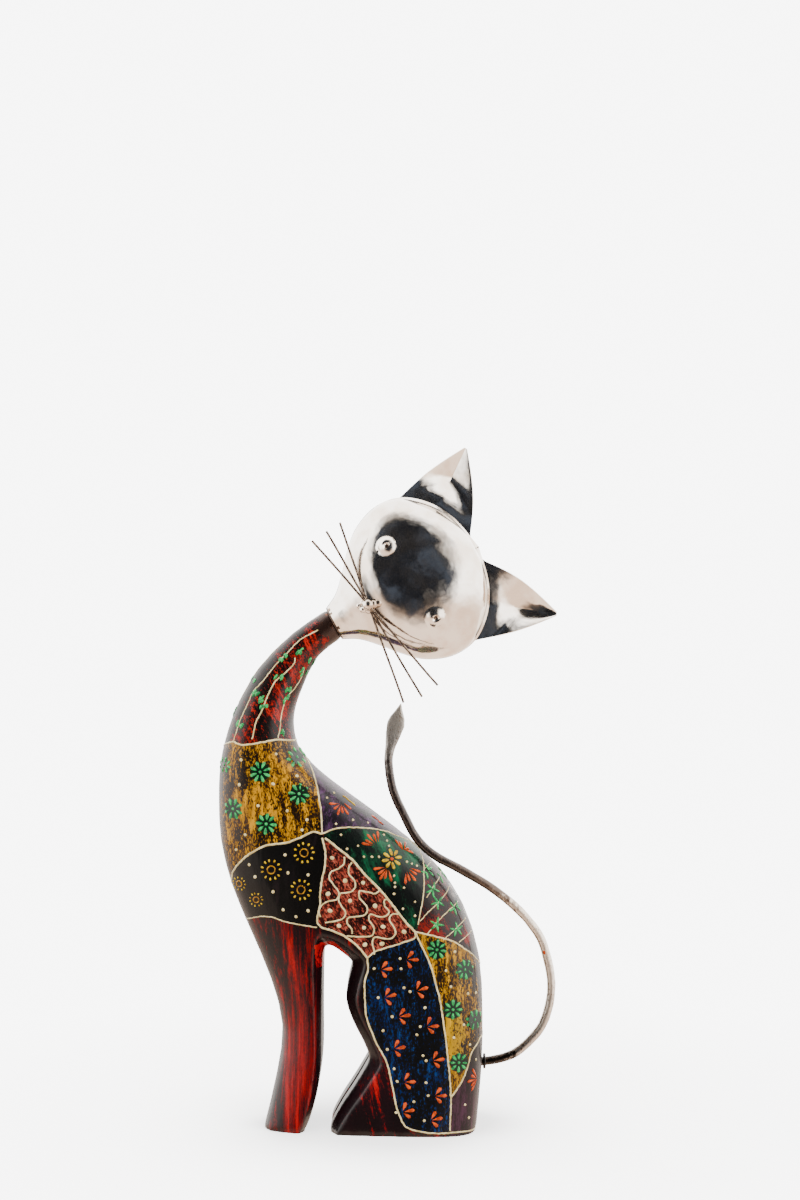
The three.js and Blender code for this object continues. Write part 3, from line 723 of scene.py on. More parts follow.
@dataclass(frozen=True)
class BandedIron:
    """The tail's rod: black at its root, bright on its low loop and dark brown towards the tip.

    stops are its colours at shares of its length, and scuff the colour of small rubbed places.
    """

    name: str = "tail"
    stops: tuple[tuple[float, str], ...] = (
        (0.0, "17130F"), (0.09, "2A241F"), (0.12, "A59D94"), (0.30, "C4BCB2"), (0.45, "B4A99C"),
        (0.50, "4A382C"), (0.66, "211611"), (0.86, "241A16"), (0.925, "86817B"), (1.0, "989289"),
    )
    scuff: str = "5A4739"
    patch: Point = (3.2, 4.5)
    rubbed: Point = (0.8, 1.6)
    dent_rise: float = 0.12

    def material(self) -> bpy.types.Material:
        """Mild steel rod, bent hot and varnished: bright on its low loop, dark brown further on.

        Returns:
            The new material.
        """
        made = bpy.data.materials.new(f"browned_mild_steel_{self.name}")
        nodes = NodeTree(made)
        # Its colour changes along it: the eye sees a bright low loop, then dark brown with paler scuffs,
        # and a grey beaten tip, with ragged ends between them
        along = nodes.add("Attribute", {}, "Fac", attribute_name="along")
        patch = nodes.add("TexNoise", {"Vector": nodes.grains(*self.patch), "Scale": 1.0, "Detail": 5,
                                       "Roughness": 0.65})
        fine = nodes.add("TexNoise", {"Vector": nodes.grains(*self.rubbed), "Scale": 1.0, "Detail": 3,
                                      "Roughness": 0.6})
        shift = nodes.add("Math", {0: patch, 1: 0.5}, operation="SUBTRACT")
        wander = nodes.add("Math", {0: shift, 1: 0.22, 2: along}, operation="MULTIPLY_ADD")
        ramp = nodes.add("ValToRGB", {0: wander})
        elements = ramp.node.color_ramp.elements
        while len(elements) < len(self.stops):
            elements.new(0.5)
        for element, (place, colour) in zip(elements, self.stops):
            element.position = place
            element.color = srgb(colour)
        scuffed = nodes.add("MapRange", {0: fine, 1: 0.56, 2: 0.70}, **SMOOTH)
        worn = nodes.add("Mix", {0: scuffed, 6: ramp, 7: srgb(self.scuff)}, 2, **COLOURS)
        brown = nodes.add("MapRange", {0: wander, 1: 0.46, 2: 0.52}, **SMOOTH)
        even = nodes.add("MapRange", {0: brown, 1: 0.0, 2: 1.0, 3: 0.32, 4: 0.30}, **SMOOTH)
        rough = nodes.add("Math", {0: fine, 1: 0.1, 2: even}, operation="MULTIPLY_ADD")
        metallic = nodes.add("MapRange", {0: brown, 1: 0.0, 2: 1.0, 3: 1.0, 4: 0.6}, **SMOOTH)
        dents = nodes.add("Math", {0: patch, 1: fine}, operation="ADD")
        beaten = nodes.add("Bump", {"Height": dents, "Distance": self.dent_rise * MM, "Strength": 1.0})
        shader = nodes.add("BsdfPrincipled", {"Base Color": worn, "Metallic": metallic, "Roughness": rough,
                                              "Normal": beaten, "Coat Weight": 0.25, "Coat Roughness": 0.15})
        nodes.add("OutputMaterial", {"Surface": shader})
        return made


CREAM = ReliefColour("cream_outliner", "F8E8B0", "D2BC80")
LEAF_GREEN = ReliefColour("leaf_green", "2CC062", "0A7038")
DEEP_GREEN = ReliefColour("deep_green", "03200F", "010E07")
ORANGE = ReliefColour("orange_red", "E25400", "9E3000")
YELLOW = ReliefColour("warm_yellow", "E2BC10", "A07A08")
OCHRE_LINE = ReliefColour("ochre_outliner", "C08A10", "6A4408")
CRACK = ReliefColour("crack_shadow", "0C0807", "050303")


# ---------------------------------------------------------------------------------------------
# The body and its painted patches
# ---------------------------------------------------------------------------------------------


@dataclass(frozen=True)
class Patch:
    """One field of paint: its outline [x, z] in millimetres, run out past the body, and finish."""

    outline: tuple[Point, ...]
    finish: BrushedPaint

    def holds(self, x: np.ndarray, z: np.ndarray) -> np.ndarray:
        """Which places lie inside the outline.

        Args:
            x: how far along each place is, in millimetres.
            z: how high each place is.

        Returns:
            True for each place inside.
        """
        inside = np.zeros(len(x), bool)
        corners = list(self.outline)
        for (x0, z0), (x1, z1) in zip(corners, corners[1:] + corners[:1]):
            if z0 != z1:
                crosses = (z0 > z) != (z1 > z)
                inside ^= crosses & (x < (x1 - x0) * (z - z0) / (z1 - z0) + x0)
        return inside


LEGS = BrushedPaint("legs_red", "1A0308", "0A0204", "760206", "A6060A", cover=0.33, across=2.4, along=60,
                    lean=0, speckle=0.35, soft=0.12, bare_edges_and_shade=0.16)
PATCHES = (
    Patch((*COLLAR, (-55, 236), (10, 300), (10, 400), (-160, 400), (-160, 223)),
          BrushedPaint("neck_red", "130504", "080302", "800A06", "B41C08", cover=0.37, across=2.8, along=24,
                       lean=27, speckle=1.1, soft=0.05, bare_edges_and_shade=0.10)),
    Patch((*COLLAR, *SHOULDER, *CHEST, (-160, 143), (-160, 223)),
          BrushedPaint("chest_ochre", "261004", "120702", "906200", "D49600", cover=0.43, across=2.8,
                       along=16, lean=6, speckle=1.6, soft=0.035, bare_edges_and_shade=0.10)),
    Patch((*SHOULDER, *BACK, (30, 167), (30, 250), (-60, 250)),
          BrushedPaint("back_purple", "190E1B", "0A060B", "361E38", "4E3054", cover=0.38, across=3.4,
                       along=14, lean=-20, speckle=0.6, soft=0.06)),
    Patch((*BACK, *FLANK, *reversed(DIAGONAL)),
          BrushedPaint("flank_green", "020E09", "010403", "043E26", "065A38", cover=0.36, across=4.4,
                       along=18, lean=20, speckle=0.5, soft=0.08)),
    Patch((*CHEST, (-160, 143), (-160, 122), *LEG_TOP, *reversed(BELLY)),
          BrushedPaint("breast_black", "040303", "020202", "0E0A0B", "171012", cover=0.26, across=4.0,
                       along=20, lean=0, speckle=0.2, soft=0.08)),
    Patch((*BELLY, *BELLY_EDGE, *reversed(THIGH_TOP), *reversed(DIAGONAL)),
          BrushedPaint("belly_pink", "2E0A07", "190403", "883224", "B85A46", cover=0.36, across=1.3, along=4,
                       lean=35, speckle=1.8, soft=0.03)),
    Patch((*FLANK, *RUMP, (70, 94.8), (70, 200), (0, 200)),
          BrushedPaint("rump_maroon", "1E1213", "0E0708", "5C120D", "801C12", cover=0.25, across=4.6,
                       along=14, lean=35, speckle=0.9, soft=0.06)),
    Patch((*THIGH_TOP, *THIGH_EDGE[:-2], *reversed(HIP)),
          BrushedPaint("thigh_blue", "030509", "020304", "051C4C", "0E3870", cover=0.18, across=2.4,
                       along=14, lean=0, speckle=2.2, soft=0.05)),
    Patch((*RUMP, (70, 94.8), (70, 55.3), *reversed(TAIL_ROOT), *reversed(HIP)),
          BrushedPaint("hip_ochre", "2A1506", "150A03", "966800", "D69A00", cover=0.46, across=2.8, along=20,
                       lean=0, speckle=1.4, soft=0.04, bare_edges_and_shade=0.08)),
    Patch((*TAIL_ROOT, (70, 55.3), (70, -5), (11, -5), (11, 3.8)),
          BrushedPaint("heel_purple", "140A11", "0A0508", "2E1624", "422438", cover=0.38, across=3.4,
                       along=22, lean=0, speckle=0.5, soft=0.06)),
    Patch(((9, 76), (17, 73), (20, 58), (17, 43), (11.5, 46), (8.5, 60)),
          BrushedPaint("hip_yellow", "2A1506", "150A03", "AA8000", "DEAA00", cover=0.78, across=2.8,
                       along=20, lean=0, speckle=1.4, soft=0.04, bare_edges_and_shade=0.08)),
    Patch(((-66, 96), (-52, 96), (-47, 103), (-56, 112), (-67, 110)),
          BrushedPaint("fork_red", "4A0406", "280204", "B8040A", "E00C10", cover=0.60, across=2.2, along=12,
                       lean=40, speckle=0.4, soft=0.06)),
    Patch(((-66, -5), (-66, 45), (-44, 45), (-38, 62), (-30, 52), (-20, 18), (-14, 6), (-4, -5)),
          BrushedPaint("foot_maroon", "18040A", "0A0205", "7A0408", "B40A0E", cover=0.20, across=3.0,
                       along=30, lean=12, speckle=0.6, soft=0.08, bare_edges_and_shade=0.10)),
)
NECK_TIP = StainedMetal("neck_tip", "5A3828", "2C1A14", cover=0.85, size=4.0)


@dataclass(frozen=True)
class HeadFrame:
    """Where the head stands: its centre, and its own sideways and upward directions."""

    centre: tuple[float, float, float] = (-7.2, 0.0, 320.8)
    tilt: float = 62.0
    neck_end: float = -56.0

    @property
    def side(self) -> Vector:
        """Across the face, towards the lower ear."""
        turn = math.radians(self.tilt)
        return Vector((math.cos(turn), 0, -math.sin(turn)))

    @property
    def up(self) -> Vector:
        """From the neck to the crown."""
        turn = math.radians(self.tilt)
        return Vector((math.sin(turn), 0, math.cos(turn)))

    def place(self, side: float, depth: float, up: float) -> Vector:
        """A place on the head, depth along -Y, in metres in the figure's own frame."""
        return (Vector(self.centre) + self.side * side + self.up * up - Vector((0, depth, 0))) * MM

    def height_of(self, points: np.ndarray) -> np.ndarray:
        """How far up the head each point lies, in millimetres."""
        return (points / MM - np.array(self.centre)) @ np.array(self.up)


@dataclass(frozen=True)
class PaintedBody:
    """The carved body: its sawn corners are rounded off by sanding, filler and lacquer."""

    head: HeadFrame
    block: bpy.types.Object  # the carved block, as it was sawn and joined
    voxel: float = 1.15
    sanding: int = 26
    relief_room: float = 0.62  # kept free for the raised paint
    sole: float = 1.2  # what is lower than this stands on the floor
    neck_sleeve: float = 10.0  # how far the brown of the neck's end reaches below the head

    def model(self) -> bpy.types.Object:
        """The body as one fine skin, a little inside the block.

        Returns:
            The new piece.
        """
        mesh = self.block.data.copy()
        body = bpy.data.objects.new("painted_body", mesh)
        bpy.context.scene.collection.objects.link(body)
        select_only(body)
        bpy.ops.object.mode_set(mode="EDIT")
        bpy.ops.mesh.select_all(action="SELECT")
        bpy.ops.mesh.remove_doubles(threshold=1e-6)
        bpy.ops.object.mode_set(mode="OBJECT")
        apply_modifier(body, "REMESH", mode="VOXEL", voxel_size=self.voxel * MM, use_smooth_shade=True)
        apply_modifier(body, "SMOOTH", factor=0.5, iterations=self.sanding)
        apply_modifier(body, "DISPLACE", strength=-self.relief_room * MM, mid_level=0.0)
        points = np.empty(len(body.data.vertices) * 3, np.float32)
        body.data.vertices.foreach_get("co", points)
        heights = points[2::3]
        heights[heights < self.sole * MM] = 0.0
        body.data.vertices.foreach_set("co", points)
        body.data.update()
        return shade_smooth(body, 60)

    def paint(self, body: bpy.types.Object) -> None:
        """Gives each face the paint of the patch that it lies in.

        Args:
            body: the piece from model.
        """
        mesh = body.data
        mesh.materials.clear()
        for finish in (LEGS, *(patch.finish for patch in PATCHES), NECK_TIP):
            mesh.materials.append(finish.material())
        centres = face_centres(mesh)
        x, z = centres[:, 0] / MM, centres[:, 2] / MM
        chosen = np.zeros(len(x), np.int32)
        for number, patch in enumerate(PATCHES, 1):
            chosen[patch.holds(x, z)] = number
        ragged = np.array([noise(Vector(c) / (5 * MM)) for c in centres]) * 7
        height = self.head.height_of(centres) + ragged
        chosen[height > self.head.neck_end - self.neck_sleeve] = len(PATCHES) + 1
        mesh.polygons.foreach_set("material_index", chosen)
        mesh.update()

    def build(self) -> list[bpy.types.Object]:
        """The painted body with everything that is painted on it.

        Returns:
            Its finished pieces.
        """
        body = self.model()
        self.paint(body)
        pieces = [finish_piece(body, None, ["body"])]
        tree = BVHTree.FromObject(body, bpy.context.evaluated_depsgraph_get())
        chance = random.Random(7)
        raised = RaisedPaint(tree, chance)
        for name, lines, colour in (("outliner_seams", SEAMS, CREAM), ("board_joints", CRACKS, CRACK)):
            runs = [raised.line(seam, side) for side in Side for seam in lines]
            pieces.append(finish_piece(tubes(name, runs, raised.line_sides), colour.material()))
        for colour, drops in Motifs(chance).by_colour().items():
            pieces.append(finish_piece(raised.drops(f"drops_{colour.name}", drops), colour.material()))
        for name, places, radius in (("sun_rings", SUNS[:3], 2.3), ("small_sun_rings", SUNS[3:], 1.7)):
            pieces.append(finish_piece(raised.rings(name, places, radius, 0.8), OCHRE_LINE.material()))
        return pieces


# ---------------------------------------------------------------------------------------------
# Raised paint
# ---------------------------------------------------------------------------------------------


@dataclass(frozen=True)
class Seam:
    """A raised line between two patches. An end at the body's edge runs on to the middle of it."""

    points: tuple[Point, ...]
    from_edge: bool = False
    to_edge: bool = False
    width: float = 1.7


@dataclass(frozen=True)
class Drop:
    """One touch of thick paint: place, direction in degrees, length, width and how it tapers."""

    place: Point
    towards: float = 0.0
    length: float = 2.0
    width: float = 2.0
    taper: float = 0.0
    rise: float = 0.55


SEAMS = (
    Seam(COLLAR, from_edge=True, to_edge=True, width=1.30), Seam(SHOULDER, width=1.22),
    Seam(CHEST, to_edge=True, width=1.37), Seam(BACK, to_edge=True, width=1.08),
    Seam(FLANK, from_edge=True, width=0.94), Seam(BELLY, width=1.37), Seam(DIAGONAL, width=1.51),
    Seam(RUMP, to_edge=True, width=1.15), Seam(THIGH_TOP, width=1.22), Seam(BELLY_EDGE, width=1.37),
    Seam(HIP, width=1.15), Seam(THIGH_EDGE, to_edge=True, width=1.22),
    Seam(TAIL_ROOT, to_edge=True, width=1.15), Seam(LEG_TOP, from_edge=True, width=0.94),
    *(Seam(line, width=0.95) for line in (VINE_FRONT, VINE_LEFT, VINE_MIDDLE, VINE_BACK)),
    *(Seam(line, width=1.10) for line in MEANDERS),
    *(Seam(line, width=0.70) for line in FLANK_VINES),
)
CRACKS = (
    Seam(BACK_CRACK, width=0.5), Seam(((15.6, 110.7), (14.4, 84), (13.1, 56.5)), width=0.45),
    Seam(((8.6, 24), (8.2, 15), (6.2, 7), (5.1, 1.2)), width=0.5),
)


def polar(centre: Point, degrees: float, distance: float) -> Point:
    """The place at this direction and distance from another."""
    turn = math.radians(degrees)
    return centre[0] + math.cos(turn) * distance, centre[1] + math.sin(turn) * distance


@dataclass(frozen=True)
class Motifs:
    """The painted motifs, as drops of thick paint for each colour."""

    chance: random.Random

    def rosette(self, centre: Point, size: float) -> list[Drop]:
        """Eight drops round a small middle one, each thick at its outer end.

        Args:
            centre: its middle.
            size: how wide it is.

        Returns:
            Its drops.
        """
        start = self.chance.uniform(0, 45)
        petals = [Drop(polar(centre, a, size * 0.31), a, size * 0.34, size * 0.165, 0.42)
                  for a in (start + k * 45 + self.chance.uniform(-4, 4) for k in range(8))]
        return [*petals, Drop(centre, 0, size * 0.15, size * 0.15)]

    def rosette_ground(self, centre: Point, size: float) -> list[Drop]:
        """The dark disc that a rosette of this size stands on."""
        return [Drop(centre, 0, size * 0.92, size * 0.92, 0, 0.12)]

    def sun(self, centre: Point, size: float = 12.4) -> list[Drop]:
        """The ring of small drops round a sun.

        Args:
            centre: its middle.
            size: how wide the ring is.

        Returns:
            Its drops.
        """
        step = 360 / 11
        return [Drop(polar(centre, k * step + self.chance.uniform(-5, 5), size * 0.43), k * step,
                     size * 0.15, size * 0.105, 0.2) for k in range(11)]

    def fan(self, root: Point, towards: float, size: float, count: int = 5,
            spread: float = 88) -> list[Drop]:
        """Long drops that open out from one root.

        Args:
            root: where they meet.
            towards: the middle one's direction, in degrees.
            size: the longest one's reach.
            count: how many there are.
            spread: the angle between the outer two.

        Returns:
            Its drops.
        """
        drops = []
        for k in range(count):
            lean = towards + spread * (k / (count - 1) - 0.5) + self.chance.uniform(-4, 4)
            reach = size * (1.0 if k % 2 == 0 else 0.82)
            drops.append(Drop(polar(root, lean, reach * 0.58), lean, reach * 0.80, size * 0.18, 0.92, 0.55))
        return drops

    def sprig(self, root: Point, towards: float) -> list[Drop]:
        """Three drops thick at their outer ends, the middle one longest.

        Args:
            root: the foot of its stalk.
            towards: the direction that it grows in, in degrees.

        Returns:
            Its drops.
        """
        fork = polar(root, towards, 2.4)
        drops = []
        for lean, reach in ((62, 5.6), (10, 6.6), (-46, 5.2)):
            turned = towards + lean + self.chance.uniform(-7, 7)
            drops.append(Drop(polar(fork, turned, reach * 0.60), turned, reach, 2.2, 0.92, 0.6))
        return drops

    def star(self, centre: Point, size: float) -> list[Drop]:
        """A small leaf of five thin points.

        Args:
            centre: its middle.
            size: how wide it is.

        Returns:
            Its drops.
        """
        start = self.chance.uniform(0, 72)
        return [Drop(polar(centre, a, size * 0.26), a, size * 0.56, size * 0.17, -0.35, 0.45)
                for a in (start + k * 72 + self.chance.uniform(-9, 9) for k in range(5))]

    def leaf(self, centre: Point) -> list[Drop]:
        """Four blobs of green squeezed over a vine.

        Args:
            centre: the place that they lie round.

        Returns:
            Its drops.
        """
        among = self.chance.uniform
        return [Drop(polar(centre, among(0, 360), among(0.8, 2.2)), among(30, 90), among(2.6, 4.2),
                     among(1.4, 2.2), 0.2) for _ in range(4)]

    def dots(self, places: Iterable[Point], size: float) -> list[Drop]:
        """Single round touches of about this size, each a little larger or smaller."""
        return [Drop(place, self.chance.uniform(0, 180), size * self.chance.uniform(0.85, 1.2),
                     size * self.chance.uniform(0.85, 1.05)) for place in places]

    def by_colour(self) -> dict[ReliefColour, list[Drop]]:
        """Every drop on one side of the body, under its colour.

        Returns:
            For each colour its drops.
        """
        fans = [self.fan(polar(place, lean + 180, 4.2), lean, 9.0)
                for place, lean in zip(FLANK_FANS, (126, 56, 236, 306))]
        green = [self.rosette(place, 13.2) for place in CHEST_FLOWERS[:-1]]
        green += [self.rosette(CHEST_FLOWERS[-1], 10)]
        green += [self.rosette(place, 12.2) for place in HIP_FLOWERS]
        green += [self.star(place, 8.6) for place in STARS] + [self.leaf(place) for place in NECK_LEAVES]
        grounds = [self.rosette_ground(place, 12.4) for place in (*CHEST_FLOWERS[:-1], *HIP_FLOWERS)]
        orange = [*fans, self.fan(polar(BACK_FAN, 75, 3.5), 255, 8.6, 6, 120),
                  self.fan(polar(ROOT_FAN, 0, 4), 180, 9)]
        orange += [self.sprig(polar(place, 180, 4.4), self.chance.uniform(-14, 10)) for place in SPRIGS]
        orange.append([Drop(FLANK_FLOWER, 0, 2.2, 2.0), Drop(BACK_STROKE, 135, 5.5, 1.7, 0.5),
                       Drop(polar(BACK_STROKE, -40, 4.5), 140, 4.5, 1.5, 0.5)])
        roots = [polar(place, 180, 5.6) for place in SPRIGS]
        cream = [self.dots((*CHEST_DOTS, *SUN_DOTS), 2.0), self.dots(MEANDER_DOTS, 2.7),
                 self.dots((*BACK_DOTS, *FLANK_DOTS), 1.5), self.dots((*SPRIG_DOTS, *HIP_DOTS, *roots), 1.8),
                 self.dots(ROOT_DOTS, 1.6)]
        flower = [Drop(polar(FLANK_FLOWER, k * 45 + 10, 3.7), k * 45 + 10, 4.6, 2.1, 0.3, 0.6)
                  for k in range(8)]
        petals = [Drop(polar(BACK_PETALS, -38, step), 142 + 40 * (-1) ** k, 3.2, 1.6, 0.4)
                  for k, step in enumerate((-2.6, -0.4, 1.8, 4.0))]
        suns = [self.sun(place) for place in SUNS[:3]] + [self.sun(place, 8.6) for place in SUNS[3:]]
        groups = {LEAF_GREEN: green, DEEP_GREEN: grounds, ORANGE: orange, YELLOW: [flower, *suns, petals],
                  CREAM: cream}
        return {colour: [drop for group in held for drop in group] for colour, held in groups.items()}


# A touch of paint, lying along X: rings of [height, radius] up to its top
DROP_RINGS = ((-0.9, 0.85), (0.0, 1.0), (0.55, 0.82))
DROP_SIDES = 8


@dataclass(frozen=True)
class RaisedPaint:
    """Puts lines and drops of thick paint on both sides of the body, square to its surface."""

    tree: BVHTree
    chance: random.Random
    step: float = 1.3  # from one point of a line to the next
    wrap_step: float = 1.5  # the same where it runs round an edge
    tremble: float = 0.09  # how far the hand strayed from the line
    swelling: float = 0.22  # how much thicker or thinner a line gets
    sunk: float = 0.45  # the share of a line's radius that lies under the surface
    line_sides: int = 8

    def spot(self, place: Point, side: Side) -> tuple[Vector, Vector]:
        """Where the body's surface is behind a place on its profile.

        Args:
            place: the place on the profile.
            side: which side of the body.

        Returns:
            The place on the surface, in metres, and the surface's normal there.
        """
        start = Vector((place[0] * MM, side * 0.2, place[1] * MM))
        hit, normal, _, _ = self.tree.ray_cast(start, Vector((0, -side, 0)))
        if hit is None or hit.y * side < 0:
            hit, normal, _, _ = self.tree.find_nearest(Vector((start.x, side * 3 * MM, start.z)))
        return hit, normal

    def line(self, seam: Seam, side: Side) -> list[tuple[Vector, float]]:
        """A seam on one side of the body.

        Args:
            seam: the seam.
            side: which side of the body.

        Returns:
            The points of its centreline and its radii, in metres.
        """
        count = max(6, round(length_of(seam.points) / self.step))
        flat = smooth_line(seam.points, count)
        stray = self.chance.gauss
        spots = [self.spot((x + stray(0, self.tremble), z + stray(0, self.tremble)), side)
                 for x, z in flat]
        for at_edge, end, place in ((seam.from_edge, 0, flat[0]), (seam.to_edge, -1, flat[-1])):
            if at_edge:
                last = spots[end][0]
                steps = max(2, round(abs(last.y) / (self.wrap_step * MM)))
                row = []
                for k in range(1, steps + 1):
                    wrapped = Vector((place[0] * MM, last.y * (1 - k / steps), place[1] * MM))
                    hit, normal, _, _ = self.tree.find_nearest(wrapped)
                    row.append((hit, normal))
                spots = [*reversed(row), *spots] if end == 0 else [*spots, *row]
        phase = self.chance.uniform(0, 10)
        line = []
        for k, (hit, normal) in enumerate(spots):
            swell = 1 + self.swelling * noise(Vector((phase + k * 0.23, 0.0, 0.0)))
            radius = seam.width / 2 * MM * swell
            line.append((hit - normal * radius * self.sunk, radius))
        return line

    def drops(self, name: str, drops: Sequence[Drop]) -> bpy.types.Object:
        """All drops of one colour as one mesh, on both sides of the body.

        Args:
            name: the piece's name.
            drops: the drops on one side.

        Returns:
            The new object.
        """
        points: list[Vector] = []
        faces: list[tuple[int, ...]] = []
        walls = grid_faces(len(DROP_RINGS) - 1, DROP_SIDES, closed=True)
        for side in Side:
            for drop in drops:
                hit, normal = self.spot(drop.place, side)
                turn = math.radians(drop.towards)
                ahead = Vector((math.cos(turn), 0, math.sin(turn)))
                ahead = (ahead - normal * ahead.dot(normal)).normalized()
                beside = normal.cross(ahead)
                first = len(points)
                for height, radius in DROP_RINGS:
                    for k in range(DROP_SIDES):
                        angle = 2 * math.pi * k / DROP_SIDES
                        along, across = math.cos(angle) * radius, math.sin(angle) * radius
                        narrow = 1 + drop.taper * along - abs(drop.taper) * 0.25
                        points.append(hit + (ahead * along * drop.length / 2
                                             + beside * across * narrow * drop.width / 2
                                             + normal * height * drop.rise) * MM)
                crown, top = len(points) - DROP_SIDES, len(points)
                points.append(hit + (ahead * drop.taper * drop.length * 0.12 + normal * drop.rise) * MM)
                faces += [tuple(first + n for n in wall) for wall in walls]
                faces += [(crown + k, crown + (k + 1) % DROP_SIDES, top) for k in range(DROP_SIDES)]
                faces.append(tuple(first + k for k in reversed(range(DROP_SIDES))))
        return shade_smooth(mesh_object(name, points, faces), 75)

    def rings(self, name: str, centres: Sequence[Point], radius: float, width: float) -> bpy.types.Object:
        """Small squeezed rings of paint on both sides of the body.

        Args:
            name: the piece's name.
            centres: their middles.
            radius: from the middle to the line.
            width: how wide the line is.

        Returns:
            The new object.
        """
        lines = []
        for side in Side:
            for centre in centres:
                start = self.chance.uniform(0, 360)
                loop = []
                for k in range(15):
                    reach = radius * (1 + 0.12 * noise(Vector((k * 0.7, start, 0.0))))
                    hit, _ = self.spot(polar(centre, start + k * 25, reach), side)
                    loop.append((hit, width / 2 * MM))
                lines.append(loop)
        return tubes(name, lines, self.line_sides)


# ---------------------------------------------------------------------------------------------
# The metal head
# ---------------------------------------------------------------------------------------------


@dataclass(frozen=True)
class HeadSection:
    """The head's cross-section at one height: half widths of outline and rim, and both bulges."""

    up: float
    half: float
    rim: float
    front: float
    nape: float


class EarPlace(IntEnum):
    """Which ear: the sign of its place across the head."""

    UPPER = -1
    LOWER = 1


@dataclass(frozen=True)
class Ear:
    """One ear's measures.

    tip is where it ends, sideways and up. swell is how far its outer edge, crease and inner edge
    bow outward. set_back is how far the feet of its outer and inner edges lie behind the head's
    seam, and fold how much deeper the crease runs half way along it.
    """

    place: EarPlace
    tip: Point
    swell: tuple[float, float, float]
    set_back: Point
    fold: float


@dataclass(frozen=True)
class Whisker:
    """One whisker: its lean in degrees, its shift along itself, its layer and how far it bends."""

    lean: float
    shift: float
    layer: int
    bend: float


